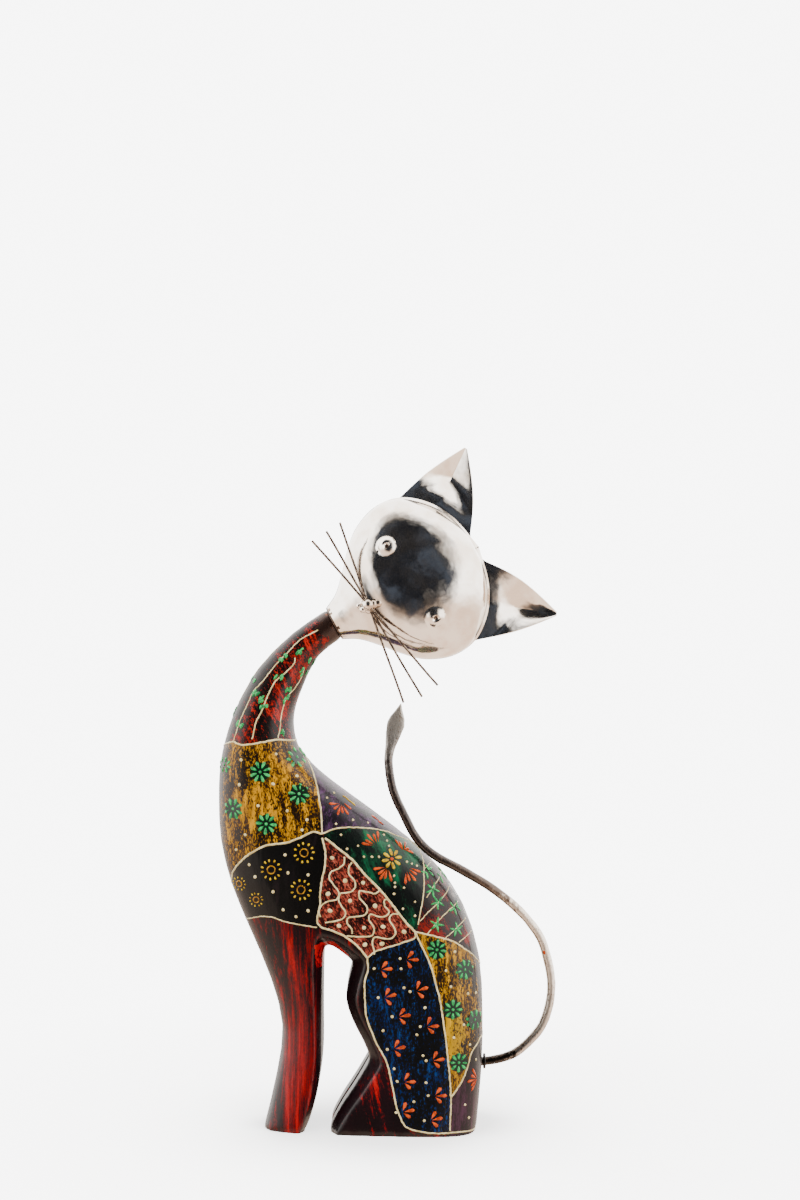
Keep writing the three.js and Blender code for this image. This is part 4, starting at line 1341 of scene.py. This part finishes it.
@dataclass(frozen=True)
class MetalHead:
    """Two dished shells with a flat flange between, folded ears, pressed eyes and wire whiskers."""

    frame: HeadFrame
    outline: tuple[Point, ...] = (
        (-56, 10.2), (-47.2, 15), (-38, 24), (-29.6, 33.6), (-18.4, 43.6),
        (-2.4, 49.6), (13.2, 47.6), (26.8, 37.2), (35.6, 22.4), (40.8, 0),
    )
    squareness: float = 2.2
    roundness: float = 0.7
    face_bulge: float = 27.5
    nape_bulge: float = 17.0
    rim_width: float = 1.8
    wall: float = 1.0
    gap: float = 0.15
    eyes: tuple[Point, ...] = ((-25.2, -7.2), (24.4, -1.6))
    eye_radius: float = 5.5
    eye_rise: float = 2.4
    pupil_radius: float = 1.6
    crease_centre: Point = (0.0, 37.4)
    crease_radius: float = 65.4
    crease_depth: float = 0.42
    crease_width: float = 3.2
    crease_ends: Point = (34, 46)  # where it fades out towards both cheeks
    pupil_depth: float = 1.9
    flange_wall: float = 0.4  # the share of the wall that keeps the face off the seam
    ear_run: Point = (-0.2, 0.975)  # from behind the head's edge to just short of the ear's tip
    ear_tip_depth: float = 10.3
    ears: tuple[Ear, ...] = (
        Ear(EarPlace.UPPER, (56.2, 62.8), (0.1, 0, 0.14), (3.2, 0.0), 13.0),
        Ear(EarPlace.LOWER, (57.6, 64.4), (0.09, 0, 0.17), (0.0, 5.0), 8.8),
    )
    whiskers: tuple[Whisker, ...] = (
        Whisker(13, 5.8, 2, 0.3), Whisker(2, 6.0, 1, 0.35), Whisker(-8.5, 4.6, 0, 0.25),
    )
    whisker_length: float = 110.6
    whisker_radius: float = 0.70
    whisker_depth: float = 20.69  # from the seam to the hindmost whisker's middle
    whisker_step: float = 1.6  # from one whisker's middle to that of the one in front of it
    nose_place: Point = (-0.4, -32.4)
    nose_depth: float = 22.44
    nose_radius: float = 3.5
    nose_beads: tuple[tuple[float, float, float], ...] = (  # up, sideways and size, in radii
        (0, 0, 1), (0.75, 0.3, 0.86), (1.6, 0.55, 0.8), (-1.15, 0.3, 0.6), (-0.65, -0.75, 0.52),
        (2.5, 0.1, 0.45), (-0.5, 0.95, 0.5), (-1.5, -0.55, 0.46), (0.55, -0.8, 0.42),
    )

    def sections(self, rows: int) -> list[HeadSection]:
        """Cross-sections from neck to crown, closer together towards the crown.

        Args:
            rows: how many steps there are.

        Returns:
            The cross-sections.
        """
        line = smooth_line([(half, up) for up, half in self.outline], 800)
        neck = self.outline[0][1]
        widest = max(half for _, half in self.outline)
        made = []
        for k in range(rows + 1):
            half, up = line[round(math.sin(k / rows * math.pi / 2) * (len(line) - 1))]
            half = max(float(half), 0.0)
            fullness = min(max((half - neck) / (widest - neck), 0.0), 1.0) ** self.roundness
            rim = min(self.rim_width * (0.12 + 0.88 * smoothstep(up, 4, 26)), half)
            bulges = [min(half, neck + (most - neck) * fullness)
                      for most in (self.face_bulge, self.nape_bulge)]
            made.append(HeadSection(float(up), half, rim, *bulges))
        return made

    def pressed(self, side: float, depth: float, up: float) -> tuple[float, float, float]:
        """A place on the face after the eyes and the crease have been worked into it.

        Args:
            side: how far across the head it was.
            depth: how far before the seam.
            up: how far up the head.

        Returns:
            The same three after it.
        """
        slope = self.slope(side, up)
        off = math.hypot(side - self.crease_centre[0], up - self.crease_centre[1]) - self.crease_radius
        if up < self.crease_centre[1]:
            ends = 1 - smoothstep(abs(side), *self.crease_ends)
            depth -= self.crease_depth * ends * math.exp(-((off / self.crease_width) ** 2))
        for eye_side, eye_up in self.eyes:
            off = math.hypot(side - eye_side, up - eye_up)
            if off < self.eye_radius:
                rise = self.eye_rise * (1 - (off / self.eye_radius) ** 2) ** 0.75
                pupil = smoothstep(off, self.pupil_radius * 0.55, self.pupil_radius * 1.15)
                rise -= self.pupil_depth * (1 - pupil)
                tilt = math.sqrt(1 + slope[0] ** 2 + slope[1] ** 2)
                side -= slope[0] * rise / tilt
                up -= slope[1] * rise / tilt
                depth += rise / tilt
        return side, depth, up

    def shell(self, name: str, facing: Side, rows: int, columns: int) -> bpy.types.Object:
        """One of the two shells, as sheet of even thickness.

        Args:
            name: the piece's name.
            facing: the near side for the face with its flange, the far one for the nape.
            rows: how many steps from neck to crown.
            columns: how many steps from edge to edge.

        Returns:
            The new object.
        """
        power = 2 / self.squareness
        near = facing == Side.NEAR
        edge = self.gap + (self.wall * self.flange_wall if near else 0)
        points: list[Vector] = []
        for k, s in enumerate(self.sections(rows)):
            height = s.up - self.rim_width * (k / rows) ** 3
            bulge = s.front if near else s.nape
            row = []
            for i in range(columns + 1):
                angle = math.pi * i / columns
                across = math.copysign(abs(math.cos(angle)) ** power, math.cos(angle))
                side = across * (s.half - s.rim)
                depth = max(abs(math.sin(angle)) ** power * bulge, edge + 0.9 * s.rim)
                row.append((side, depth, height))
            lip, lip_up = (s.half, s.up) if near else (s.half - s.rim, height)
            row = [(lip, edge, lip_up), *row, (-lip, edge, lip_up)]
            if near:
                row = [self.pressed(*p) if p[1] > 3 else p for p in row]
            points += [self.frame.place(side, -facing * depth, up) for side, depth, up in row]
        shell = mesh_object(name, points, grid_faces(rows, columns + 3))
        self.face_away(shell)
        apply_modifier(shell, "SOLIDIFY", thickness=self.wall * MM, offset=-1.0)
        return shade_smooth(shell, 40)

    def slope(self, side: float, up: float) -> Point:
        """How the face's depth changes sideways and upward near an eye."""
        return -side / 60.0, -up / 120.0

    def face_away(self, shell: bpy.types.Object) -> None:
        """Turns an open shell's faces away from the head's middle.

        Args:
            shell: the open shell.
        """
        middle = self.frame.place(0, 0, 0)
        shape = bmesh.new()
        shape.from_mesh(shell.data)
        out = sum((f.calc_center_median() - middle).dot(f.normal) * f.calc_area() for f in shape.faces)
        if out < 0:
            bmesh.ops.reverse_faces(shape, faces=shape.faces)
        shape.to_mesh(shell.data)
        shape.free()

    def stain(self, shell: bpy.types.Object, facing: Side, bright: bpy.types.Material,
              stained: bpy.types.Material) -> None:
        """Browns the sheet's ragged end at the neck, paints shade on its rim up both cheeks, and darkens the
        pupils.

        Args:
            shell: the shell.
            facing: which of the two it is.
            bright: the sheet's own material.
            stained: the material of its browned end, of the painted shade on its rim and of the pupils.
        """
        mesh = shell.data
        mesh.materials.clear()
        mesh.materials.append(bright)
        mesh.materials.append(stained)
        centres = face_centres(mesh)
        height = self.frame.height_of(centres)
        ragged = np.array([noise(Vector(c) / (2.2 * MM)) for c in centres])
        at_neck = height + ragged * 2.4 < self.frame.neck_end + 1.6
        # Painted shade: the rim from the neck up both cheeks, to about the head's middle, with a ragged end
        rim_shade = np.abs(centres[:, 1]) < 3.2 * MM
        browned = at_neck | (rim_shade & (height + ragged * 14 < -2))
        # A dark brown dot in the hollow of each pupil
        if facing == Side.NEAR:
            for side, up in self.eyes:
                off = centres / MM - np.array(self.frame.place(side, 0, up)) / MM
                browned |= (np.hypot(off[:, 0], off[:, 2]) < 1.0) & (centres[:, 1] < -5 * MM)
        mesh.polygons.foreach_set("material_index", browned.astype(np.int32))
        mesh.update()

    def ear(self, name: str, ear: Ear) -> bpy.types.Object:
        """A folded ear: two hollow leaves that meet in a crease behind their edges.

        Args:
            name: the piece's name.
            ear: its measures.

        Returns:
            The new object.
        """
        feet = ((48.0, 14.4, ear.set_back[0]), (33.6, 32.4, 2.5), (9.6, 40.4, ear.set_back[1]))
        rows, columns, crease = 36, 10, 1
        start, end = self.ear_run
        points: list[Vector] = []
        for k in range(rows + 1):
            t = start + (end - start) * k / rows
            near = max(t, 0.0)
            corners = []
            for line, ((x, up, depth), belly) in enumerate(zip(feet, ear.swell)):
                foot = depth + (ear.fold * smoothstep(near, 0.10, 0.5) if line == crease else 0)
                hurry = 1.0 if line == crease else 1.5 if depth else 3.0
                deep = foot + (self.ear_tip_depth - foot) * near ** hurry
                bulge = math.sin(math.pi * near) * belly
                place = np.array([x + (ear.tip[0] - x) * t, up + (ear.tip[1] - up) * t])
                place += (np.array([x, up]) - np.array(feet[crease][:2])) * bulge
                corners.append(np.array([ear.place * place[0], deep, place[1]]))
            for a, b in ((0, 1), (1, 2)):
                for i in range(columns + (b == 2)):
                    u = i / columns
                    across = corners[a] + (corners[b] - corners[a]) * u
                    outward = 1 - u if a == 0 else u
                    dished = 1 - (1 - outward) ** 1.12
                    deep = corners[crease][1] + (corners[0][1] - corners[crease][1]) * dished
                    points.append(self.frame.place(across[0], -(self.gap + deep), across[2]))
        made = mesh_object(name, points, grid_faces(rows, 2 * columns + 1))
        if made.data.polygons[0].normal.y > 0:
            made.data.flip_normals()
        apply_modifier(made, "SOLIDIFY", thickness=self.wall * MM, offset=-1.0)
        return shade_smooth(made, 32)

    def blob(self, name: str, beads: Sequence[tuple[Vector, float]], voxel: float) -> bpy.types.Object:
        """Beads of solder run together.

        Args:
            name: the piece's name.
            beads: their places in metres and radii in millimetres.
            voxel: how finely they are joined, in millimetres.

        Returns:
            The new object.
        """
        parts = []
        for place, radius in beads:
            bpy.ops.mesh.primitive_uv_sphere_add(segments=20, ring_count=12, radius=radius * MM)
            bead = bpy.context.active_object
            bead.data.transform(Matrix.Translation(place))
            parts.append(bead)
        select_only(parts[0])
        for bead in parts:
            bead.select_set(True)
        bpy.ops.object.join()
        solder = bpy.context.active_object
        solder.name = solder.data.name = name
        apply_modifier(solder, "REMESH", mode="VOXEL", voxel_size=voxel * MM, use_smooth_shade=True)
        apply_modifier(solder, "SMOOTH", factor=0.5, iterations=4)
        return shade_smooth(solder)

    def nose(self) -> bpy.types.Object:
        """The nose: a lump of solder beads over the crossing of the whiskers.

        Returns:
            The new object.
        """
        (across, height), size = self.nose_place, self.nose_radius
        beads = []
        for up, side, share in self.nose_beads:
            depth = self.nose_depth - (1 - share) * size * 1.2
            place = self.frame.place(across + side * size, depth, height + up * size)
            beads.append((place, share * size * 0.99))
        return self.blob("solder_nose", beads, 0.28)

    def whisker(self, number: int, whisker: Whisker) -> bpy.types.Object:
        """One straight-drawn wire, a little uneven, that crosses the nose.

        Args:
            number: which whisker, counted from the front one.
            whisker: its measures.

        Returns:
            The new object.
        """
        turn = math.radians(whisker.lean)
        depth = self.whisker_depth + self.whisker_step * whisker.layer
        line = []
        for k in range(41):
            along = (k / 40 - 0.5) * self.whisker_length + whisker.shift
            wobble = whisker.bend * math.sin(along / 17 + number * 1.7) * smoothstep(abs(along), 8, 50)
            side = math.cos(turn) * along - math.sin(turn) * wobble
            up = self.nose_place[1] + math.sin(turn) * along + math.cos(turn) * wobble
            radius = self.whisker_radius * (0.98 + 0.05 * noise(Vector((k * 0.6, number * 3.1, 0.0))))
            line.append((self.frame.place(side, depth, up), radius * MM))
        return tubes(f"whisker_wire_{number}", [line], 12)

    def build(self) -> list[bpy.types.Object]:
        """The metal head with its ears, nose and whiskers.

        Returns:
            Its finished pieces.
        """
        nickel = BrightNickel("nickel_plate").material()
        # Brown for the stained neck end, for painted shade on the lower rim, and for the dark pupils
        brown = StainedMetal("neck_stain_and_rim_shade", "8A7664", "33241A", cover=0.72).material()
        pieces = []
        for name, facing, rows, columns, node in (("face_shell", Side.NEAR, 170, 190, "head_front"),
                                                  ("nape_shell", Side.FAR, 110, 130, "head_back")):
            shell = self.shell(name, facing, rows, columns)
            self.stain(shell, facing, nickel, brown)
            pieces.append(finish_piece(shell, None, [node]))
        for ear in self.ears:
            which = ear.place.name.lower()
            made = self.ear(f"{which}_ear", ear)
            pieces.append(finish_piece(made, nickel, [f"ear_{which}"]))
        wire = StainedMetal("whisker_wire", "8A7A6B", "3C2E24", cover=0.6, size=1.6).material()
        for number, whisker in enumerate(self.whiskers, 1):
            made = self.whisker(number, whisker)
            pieces.append(finish_piece(made, wire, [f"whisker_{number}"]))
        solder = BrightNickel("solder", "D2C8BE", "A89684", dull=0.14, wave=0.15).material()
        pieces.append(finish_piece(self.nose(), solder, ["nose"]))
        return pieces


# ---------------------------------------------------------------------------------------------
# The tail
# ---------------------------------------------------------------------------------------------


@dataclass(frozen=True)
class IronTail:
    """A rod bent round and up, with its end beaten into a leaf, and a washer at its root."""

    root: tuple[float, float] = (30.8, 36.8)
    rod: float = 5.3
    leaf_length: float = 31.0
    leaf_width: float = 10.8
    leaf_thickness: float = 2.2
    leaf: tuple[Point, ...] = (  # from the tip: the share of its length, and of its width there
        (0, 0.06), (0.12, 0.36), (0.28, 0.86), (0.42, 1), (0.58, 0.88), (0.8, 0.6), (1, 0.49),
    )
    within: float = 0.985  # how much of the rod's width is used, so that dents stay inside it
    washer_radius: float = 4.45
    washer_width: float = 1.4
    washer_place: float = 1.2  # from the root to its middle
    washer_bevel: float = 0.35
    speck_place: tuple[float, float, float] = (67.1, -5.1, 102.3)
    speck_radius: float = 1.1
    speck_shape: tuple[float, float, float] = (0.8, 0.45, 1.7)
    bent: tuple[tuple[float, float, float], ...] = (  # its middle: along X, up, and along Y
        (48.68, 40.76, 0), (59.6, 49.6, 0), (66.08, 57.84, 0), (70.16, 69.76, -0.48),
        (71.48, 81.64, -1), (69.92, 93.64, -2), (64.88, 109.88, -4), (57.88, 120.24, -6),
        (49.68, 129.08, -8), (40.76, 136.68, -10), (31.92, 143.12, -12), (17.24, 151.88, -14),
        (2.68, 159.88, -15), (-7.24, 168.96, -15.5), (-15.36, 183.52, -15.5), (-21.76, 198, -15),
        (-24.28, 212.48, -14), (-24, 219.72, -13.5), (-20.6, 234.2, -12.5), (-17.16, 248.2, -12),
    )

    def model(self) -> bpy.types.Object:
        """The rod and its leaf, with a value that runs from 0 at the root to 1 at the tip.

        Returns:
            The new object.
        """
        x, z = self.root
        start = [(x - 10.6, z, 0), (x - 5.5, z, 0), (x + self.rod / 2, z, 0)]
        rings, sides = 420, 28
        line = smooth_line([*start, *self.bent], rings + 1)
        length = length_of(line)
        points, along = [], []
        widths = np.array(self.leaf)
        for k, (px, pz, py) in enumerate(line):
            share = k / rings
            to_tip = (1 - share) * length / self.leaf_length
            ahead = Vector(line[min(k + 1, rings)] - line[max(k - 1, 0)]).normalized()
            beside = Vector((-ahead.y, ahead.x))
            half = self.rod / 2 * (1 + 0.05 * noise(Vector((k * 0.05, 3.0, 0))))
            if to_tip < 1:
                half = float(np.interp(to_tip, widths[:, 0], widths[:, 1])) * self.leaf_width / 2
            flat = 1 - smoothstep(to_tip, 0.5, 1.3)
            thick = self.rod / 2 + (self.leaf_thickness / 2 - self.rod / 2) * flat
            for i in range(sides):
                angle = 2 * math.pi * i / sides
                wide, deep = math.cos(angle), math.sin(angle)
                dent = 1 - 0.05 * abs(noise(Vector((k * 0.09, wide * 1.4, deep * 1.4)))) * 2
                across, out = wide * half * self.within * dent, deep * thick * self.within * dent
                points.append(Vector((px + beside.x * across, py - out, pz + beside.y * across)) * MM)
                along.append(share)
        faces = grid_faces(rings, sides, closed=True)
        faces += [tuple(reversed(range(sides))), tuple(rings * sides + i for i in range(sides))]
        tail = mesh_object("tail_rod", points, faces)
        values = tail.data.attributes.new("along", "FLOAT", "POINT")
        lookup = {tuple(round(c * 1e6) for c in p): v for p, v in zip(points, along)}
        for vertex, value in zip(tail.data.vertices, values.data):
            value.value = lookup.get(tuple(round(c * 1e6) for c in vertex.co), 1.0)
        return shade_smooth(tail, 60)

    def speck(self) -> bpy.types.Object:
        """A speck of the body's orange paint that fell on the rod.

        Blender's own sphere lists its faces in another order each run, so this one is listed here.

        Returns:
            The new object.
        """
        rings, sides = 10, 16
        points = []
        for k in range(rings + 1):
            turn = math.pi * k / rings
            for i in range(sides):
                angle = 2 * math.pi * i / sides
                way = (math.sin(turn) * math.cos(angle), math.sin(turn) * math.sin(angle), math.cos(turn))
                points.append([(at + self.speck_radius * share * part) * MM
                               for at, share, part in zip(self.speck_place, self.speck_shape, way)])
        return shade_smooth(mesh_object("paint_speck", points, grid_faces(rings, sides, closed=True)))

    def washer(self) -> bpy.types.Object:
        """The washer that the rod is driven through, against the haunches.

        Returns:
            The new object.
        """
        bpy.ops.mesh.primitive_cylinder_add(vertices=40, radius=self.washer_radius * MM,
                                            depth=self.washer_width * MM)
        washer = bpy.context.active_object
        washer.name = washer.data.name = "tail_washer"
        x, z = self.root
        place = Matrix.Translation(Vector((x + self.washer_place, 0, z)) * MM)
        washer.data.transform(place @ Matrix.Rotation(math.pi / 2, 4, "Y"))
        apply_modifier(washer, "BEVEL", width=self.washer_bevel * MM, segments=3)
        return shade_smooth(washer, 40)

    def build(self) -> list[bpy.types.Object]:
        """The bent tail with its washer and a speck of paint.

        Returns:
            Its finished pieces.
        """
        black = StainedMetal("washer", "4A4038", "14100E", cover=0.8)
        return [finish_piece(self.model(), BandedIron().material(), ["tail"]),
                finish_piece(self.speck(), ORANGE.material()),
                finish_piece(self.washer(), black.material())]


# ---------------------------------------------------------------------------------------------
# The studio
# ---------------------------------------------------------------------------------------------


@dataclass(frozen=True)
class Studio:
    """A white studio: pale floor and surround, and the dark camera side that metal reflects.

    The dark is an oval, its centre and half angles in degrees. Other places are in metres.
    """

    camera_place: tuple[float, float, float] = (-0.0177, -1.113, 0.3086)
    lens: float = 56.6
    background: str = "F4F4F4"
    dark_half_angles: tuple[float, float] = (44.0, 54.0)
    dark_centre: tuple[float, float] = (9.5, 21.0)
    aim: tuple[float, float, float] = (-0.03, 0.0, 0.18)

    def camera(self) -> None:
        """A level camera in front of the figure."""
        data = bpy.data.cameras.new("camera")
        data.sensor_fit = "VERTICAL"
        data.sensor_height = 36
        data.lens = self.lens
        camera = bpy.data.objects.new("camera", data)
        camera.location = self.camera_place
        camera.rotation_euler = (math.radians(90), 0, 0)
        bpy.context.scene.collection.objects.link(camera)
        bpy.context.scene.camera = camera

    def floor(self) -> None:
        """A pale floor that glows, with painted shadow round the figure's feet, and thins out far from the
        figure.
        """
        bpy.ops.mesh.primitive_circle_add(vertices=96, radius=3.0, fill_type="NGON")
        floor = bpy.context.active_object
        floor.name = floor.data.name = "floor"
        made = bpy.data.materials.new("floor_paper_with_painted_shadow")
        nodes = NodeTree(made)
        reach = nodes.add("VectorMath", {0: nodes.add("TexCoord", {}, "Object")}, "Value", operation="LENGTH")
        # It glows like the background, and its glow is dimmed where the figure is close: painted shadow
        # round the feet, over the faint real shade of its lit share
        lit = nodes.add("BsdfDiffuse", {"Color": srgb("FCFCFC")})
        # Painted shadow: the more the figure hems a place in, the weaker its glow
        near = nodes.add("AmbientOcclusion", {"Distance": 0.12}, "AO")
        strength = nodes.add("MapRange", {0: near, 1: 0.6, 2: 1.0, 3: 2.2, 4: 5.6}, **SMOOTH)
        glow_with_painted_shadow = nodes.add("Emission", {"Color": srgb(self.background), "Strength": strength})
        paper = nodes.add("AddShader", {0: lit, 1: glow_with_painted_shadow})
        thin = nodes.add("MapRange", {0: reach, 1: 0.10, 2: 0.42}, **SMOOTH)
        faded = nodes.add("MixShader", {0: thin, 1: paper, 2: nodes.add("BsdfTransparent", {})})
        nodes.add("OutputMaterial", {"Surface": faded})
        floor.data.materials.append(made)
        floor.visible_glossy = floor.visible_diffuse = False

    def world(self) -> None:
        """White all round, warm from below, with a soft dark oval on the camera's side."""
        world = bpy.data.worlds.new("studio")
        bpy.context.scene.world = world
        nodes = NodeTree(world)
        way = nodes.add("TexCoord", {}, "Generated")
        # How far into the dark oval a direction points, with a ragged edge
        aside, raised = (math.radians(a) for a in self.dark_centre)
        turned = nodes.add("VectorRotate", {"Vector": way, "Rotation": (raised, 0.0, aside)},
                           rotation_type="EULER_XYZ")
        wide, tall = (1 / math.tan(math.radians(a)) for a in self.dark_half_angles)
        squeezed = nodes.add("VectorMath", {0: turned, 1: (wide, 1.0, tall)}, operation="MULTIPLY")
        unit = nodes.add("VectorMath", {0: squeezed}, operation="NORMALIZE")
        ahead = nodes.add("VectorMath", {0: unit, 1: (0.0, -1.0, 0.0)}, "Value", operation="DOT_PRODUCT")
        cloud = nodes.add("TexNoise", {"Vector": way, "Scale": 3.0, "Detail": 5.0, "Roughness": 0.6})
        shift = nodes.add("Math", {0: cloud, 1: 0.5}, operation="SUBTRACT")
        wavering = nodes.add("Math", {0: shift, 1: 0.5, 2: ahead}, operation="MULTIPLY_ADD")
        dark = nodes.add("MapRange", {0: wavering, 1: 0.54, 2: 0.86}, **SMOOTH)
        # White above, warm grey below, and blue-black in the oval
        height = nodes.add("SeparateXYZ", {0: way}, "Z")
        below = nodes.add("MapRange", {0: height, 1: 0.02, 2: -0.38}, **SMOOTH)
        light = nodes.add("Mix", {0: below, 6: srgb("FFFBF6"), 7: srgb("B09C8C")}, 2, **COLOURS)
        dim = nodes.add("MapRange", {0: cloud, 1: 0.45, 2: 0.72}, **SMOOTH)
        murk = nodes.add("Mix", {0: dim, 6: srgb("08090C"), 7: srgb("20242B")}, 2, **COLOURS)
        seen = nodes.add("Mix", {0: dark, 6: light, 7: murk}, 2, **COLOURS)
        # Gloss reflects all of it, matt paint is lit without the oval, and the camera sees plain white
        mirrored = nodes.add("Background", {"Color": seen, "Strength": 6.5})
        soft = nodes.add("Background", {"Color": light, "Strength": 1.5})
        backdrop = nodes.add("Background", {"Color": srgb(self.background), "Strength": 8.5})
        glossy = nodes.add("LightPath", {}, "Is Glossy Ray")
        around = nodes.add("MixShader", {0: glossy, 1: soft, 2: mirrored})
        direct = nodes.add("LightPath", {}, "Is Camera Ray")
        either = nodes.add("MixShader", {0: direct, 1: around, 2: backdrop})
        nodes.add("OutputWorld", {"Surface": either})

    def lamp(self, name: str, place: tuple[float, float, float], size: float, power: float) -> None:
        """A soft lamp aimed at the figure, not seen in its reflections.

        Args:
            name: the lamp's name.
            place: where it is, in metres.
            size: how wide it is, in metres.
            power: its power in watts.
        """
        data = bpy.data.lights.new(name, "AREA")
        data.size = size
        data.energy = power
        lamp = bpy.data.objects.new(name, data)
        lamp.location = place
        aim = Vector(self.aim) - Vector(place)
        lamp.rotation_euler = aim.to_track_quat("-Z", "Y").to_euler()
        lamp.visible_glossy = False
        bpy.context.scene.collection.objects.link(lamp)

    def build(self) -> None:
        """Sets up everything round the figure."""
        self.camera()
        self.floor()
        self.world()
        self.lamp("key", (-0.9, -1.3, 1.2), 0.9, 14)
        self.lamp("fill", (1.1, -1.0, 0.7), 0.9, 7)


# ---------------------------------------------------------------------------------------------
# Assembly
# ---------------------------------------------------------------------------------------------


def corners(bounds: tuple[Vector, Vector]) -> list[list[float]]:
    """A box's two corners as plain lists."""
    return [list(bounds[0]), list(bounds[1])]


def main() -> None:
    """Builds the figure and its studio in order, and reports each piece."""
    logging.basicConfig(level=logging.INFO, format="%(message)s")
    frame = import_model()
    head_frame = HeadFrame()
    for part in (PaintedBody(head_frame, frame["nodes"]["body"]), MetalHead(head_frame), IronTail()):
        for piece in part.build():
            log.info("%s: %d faces", piece.name, len(piece.data.polygons))
    Studio().build()


if __name__ == "__main__":
    main()
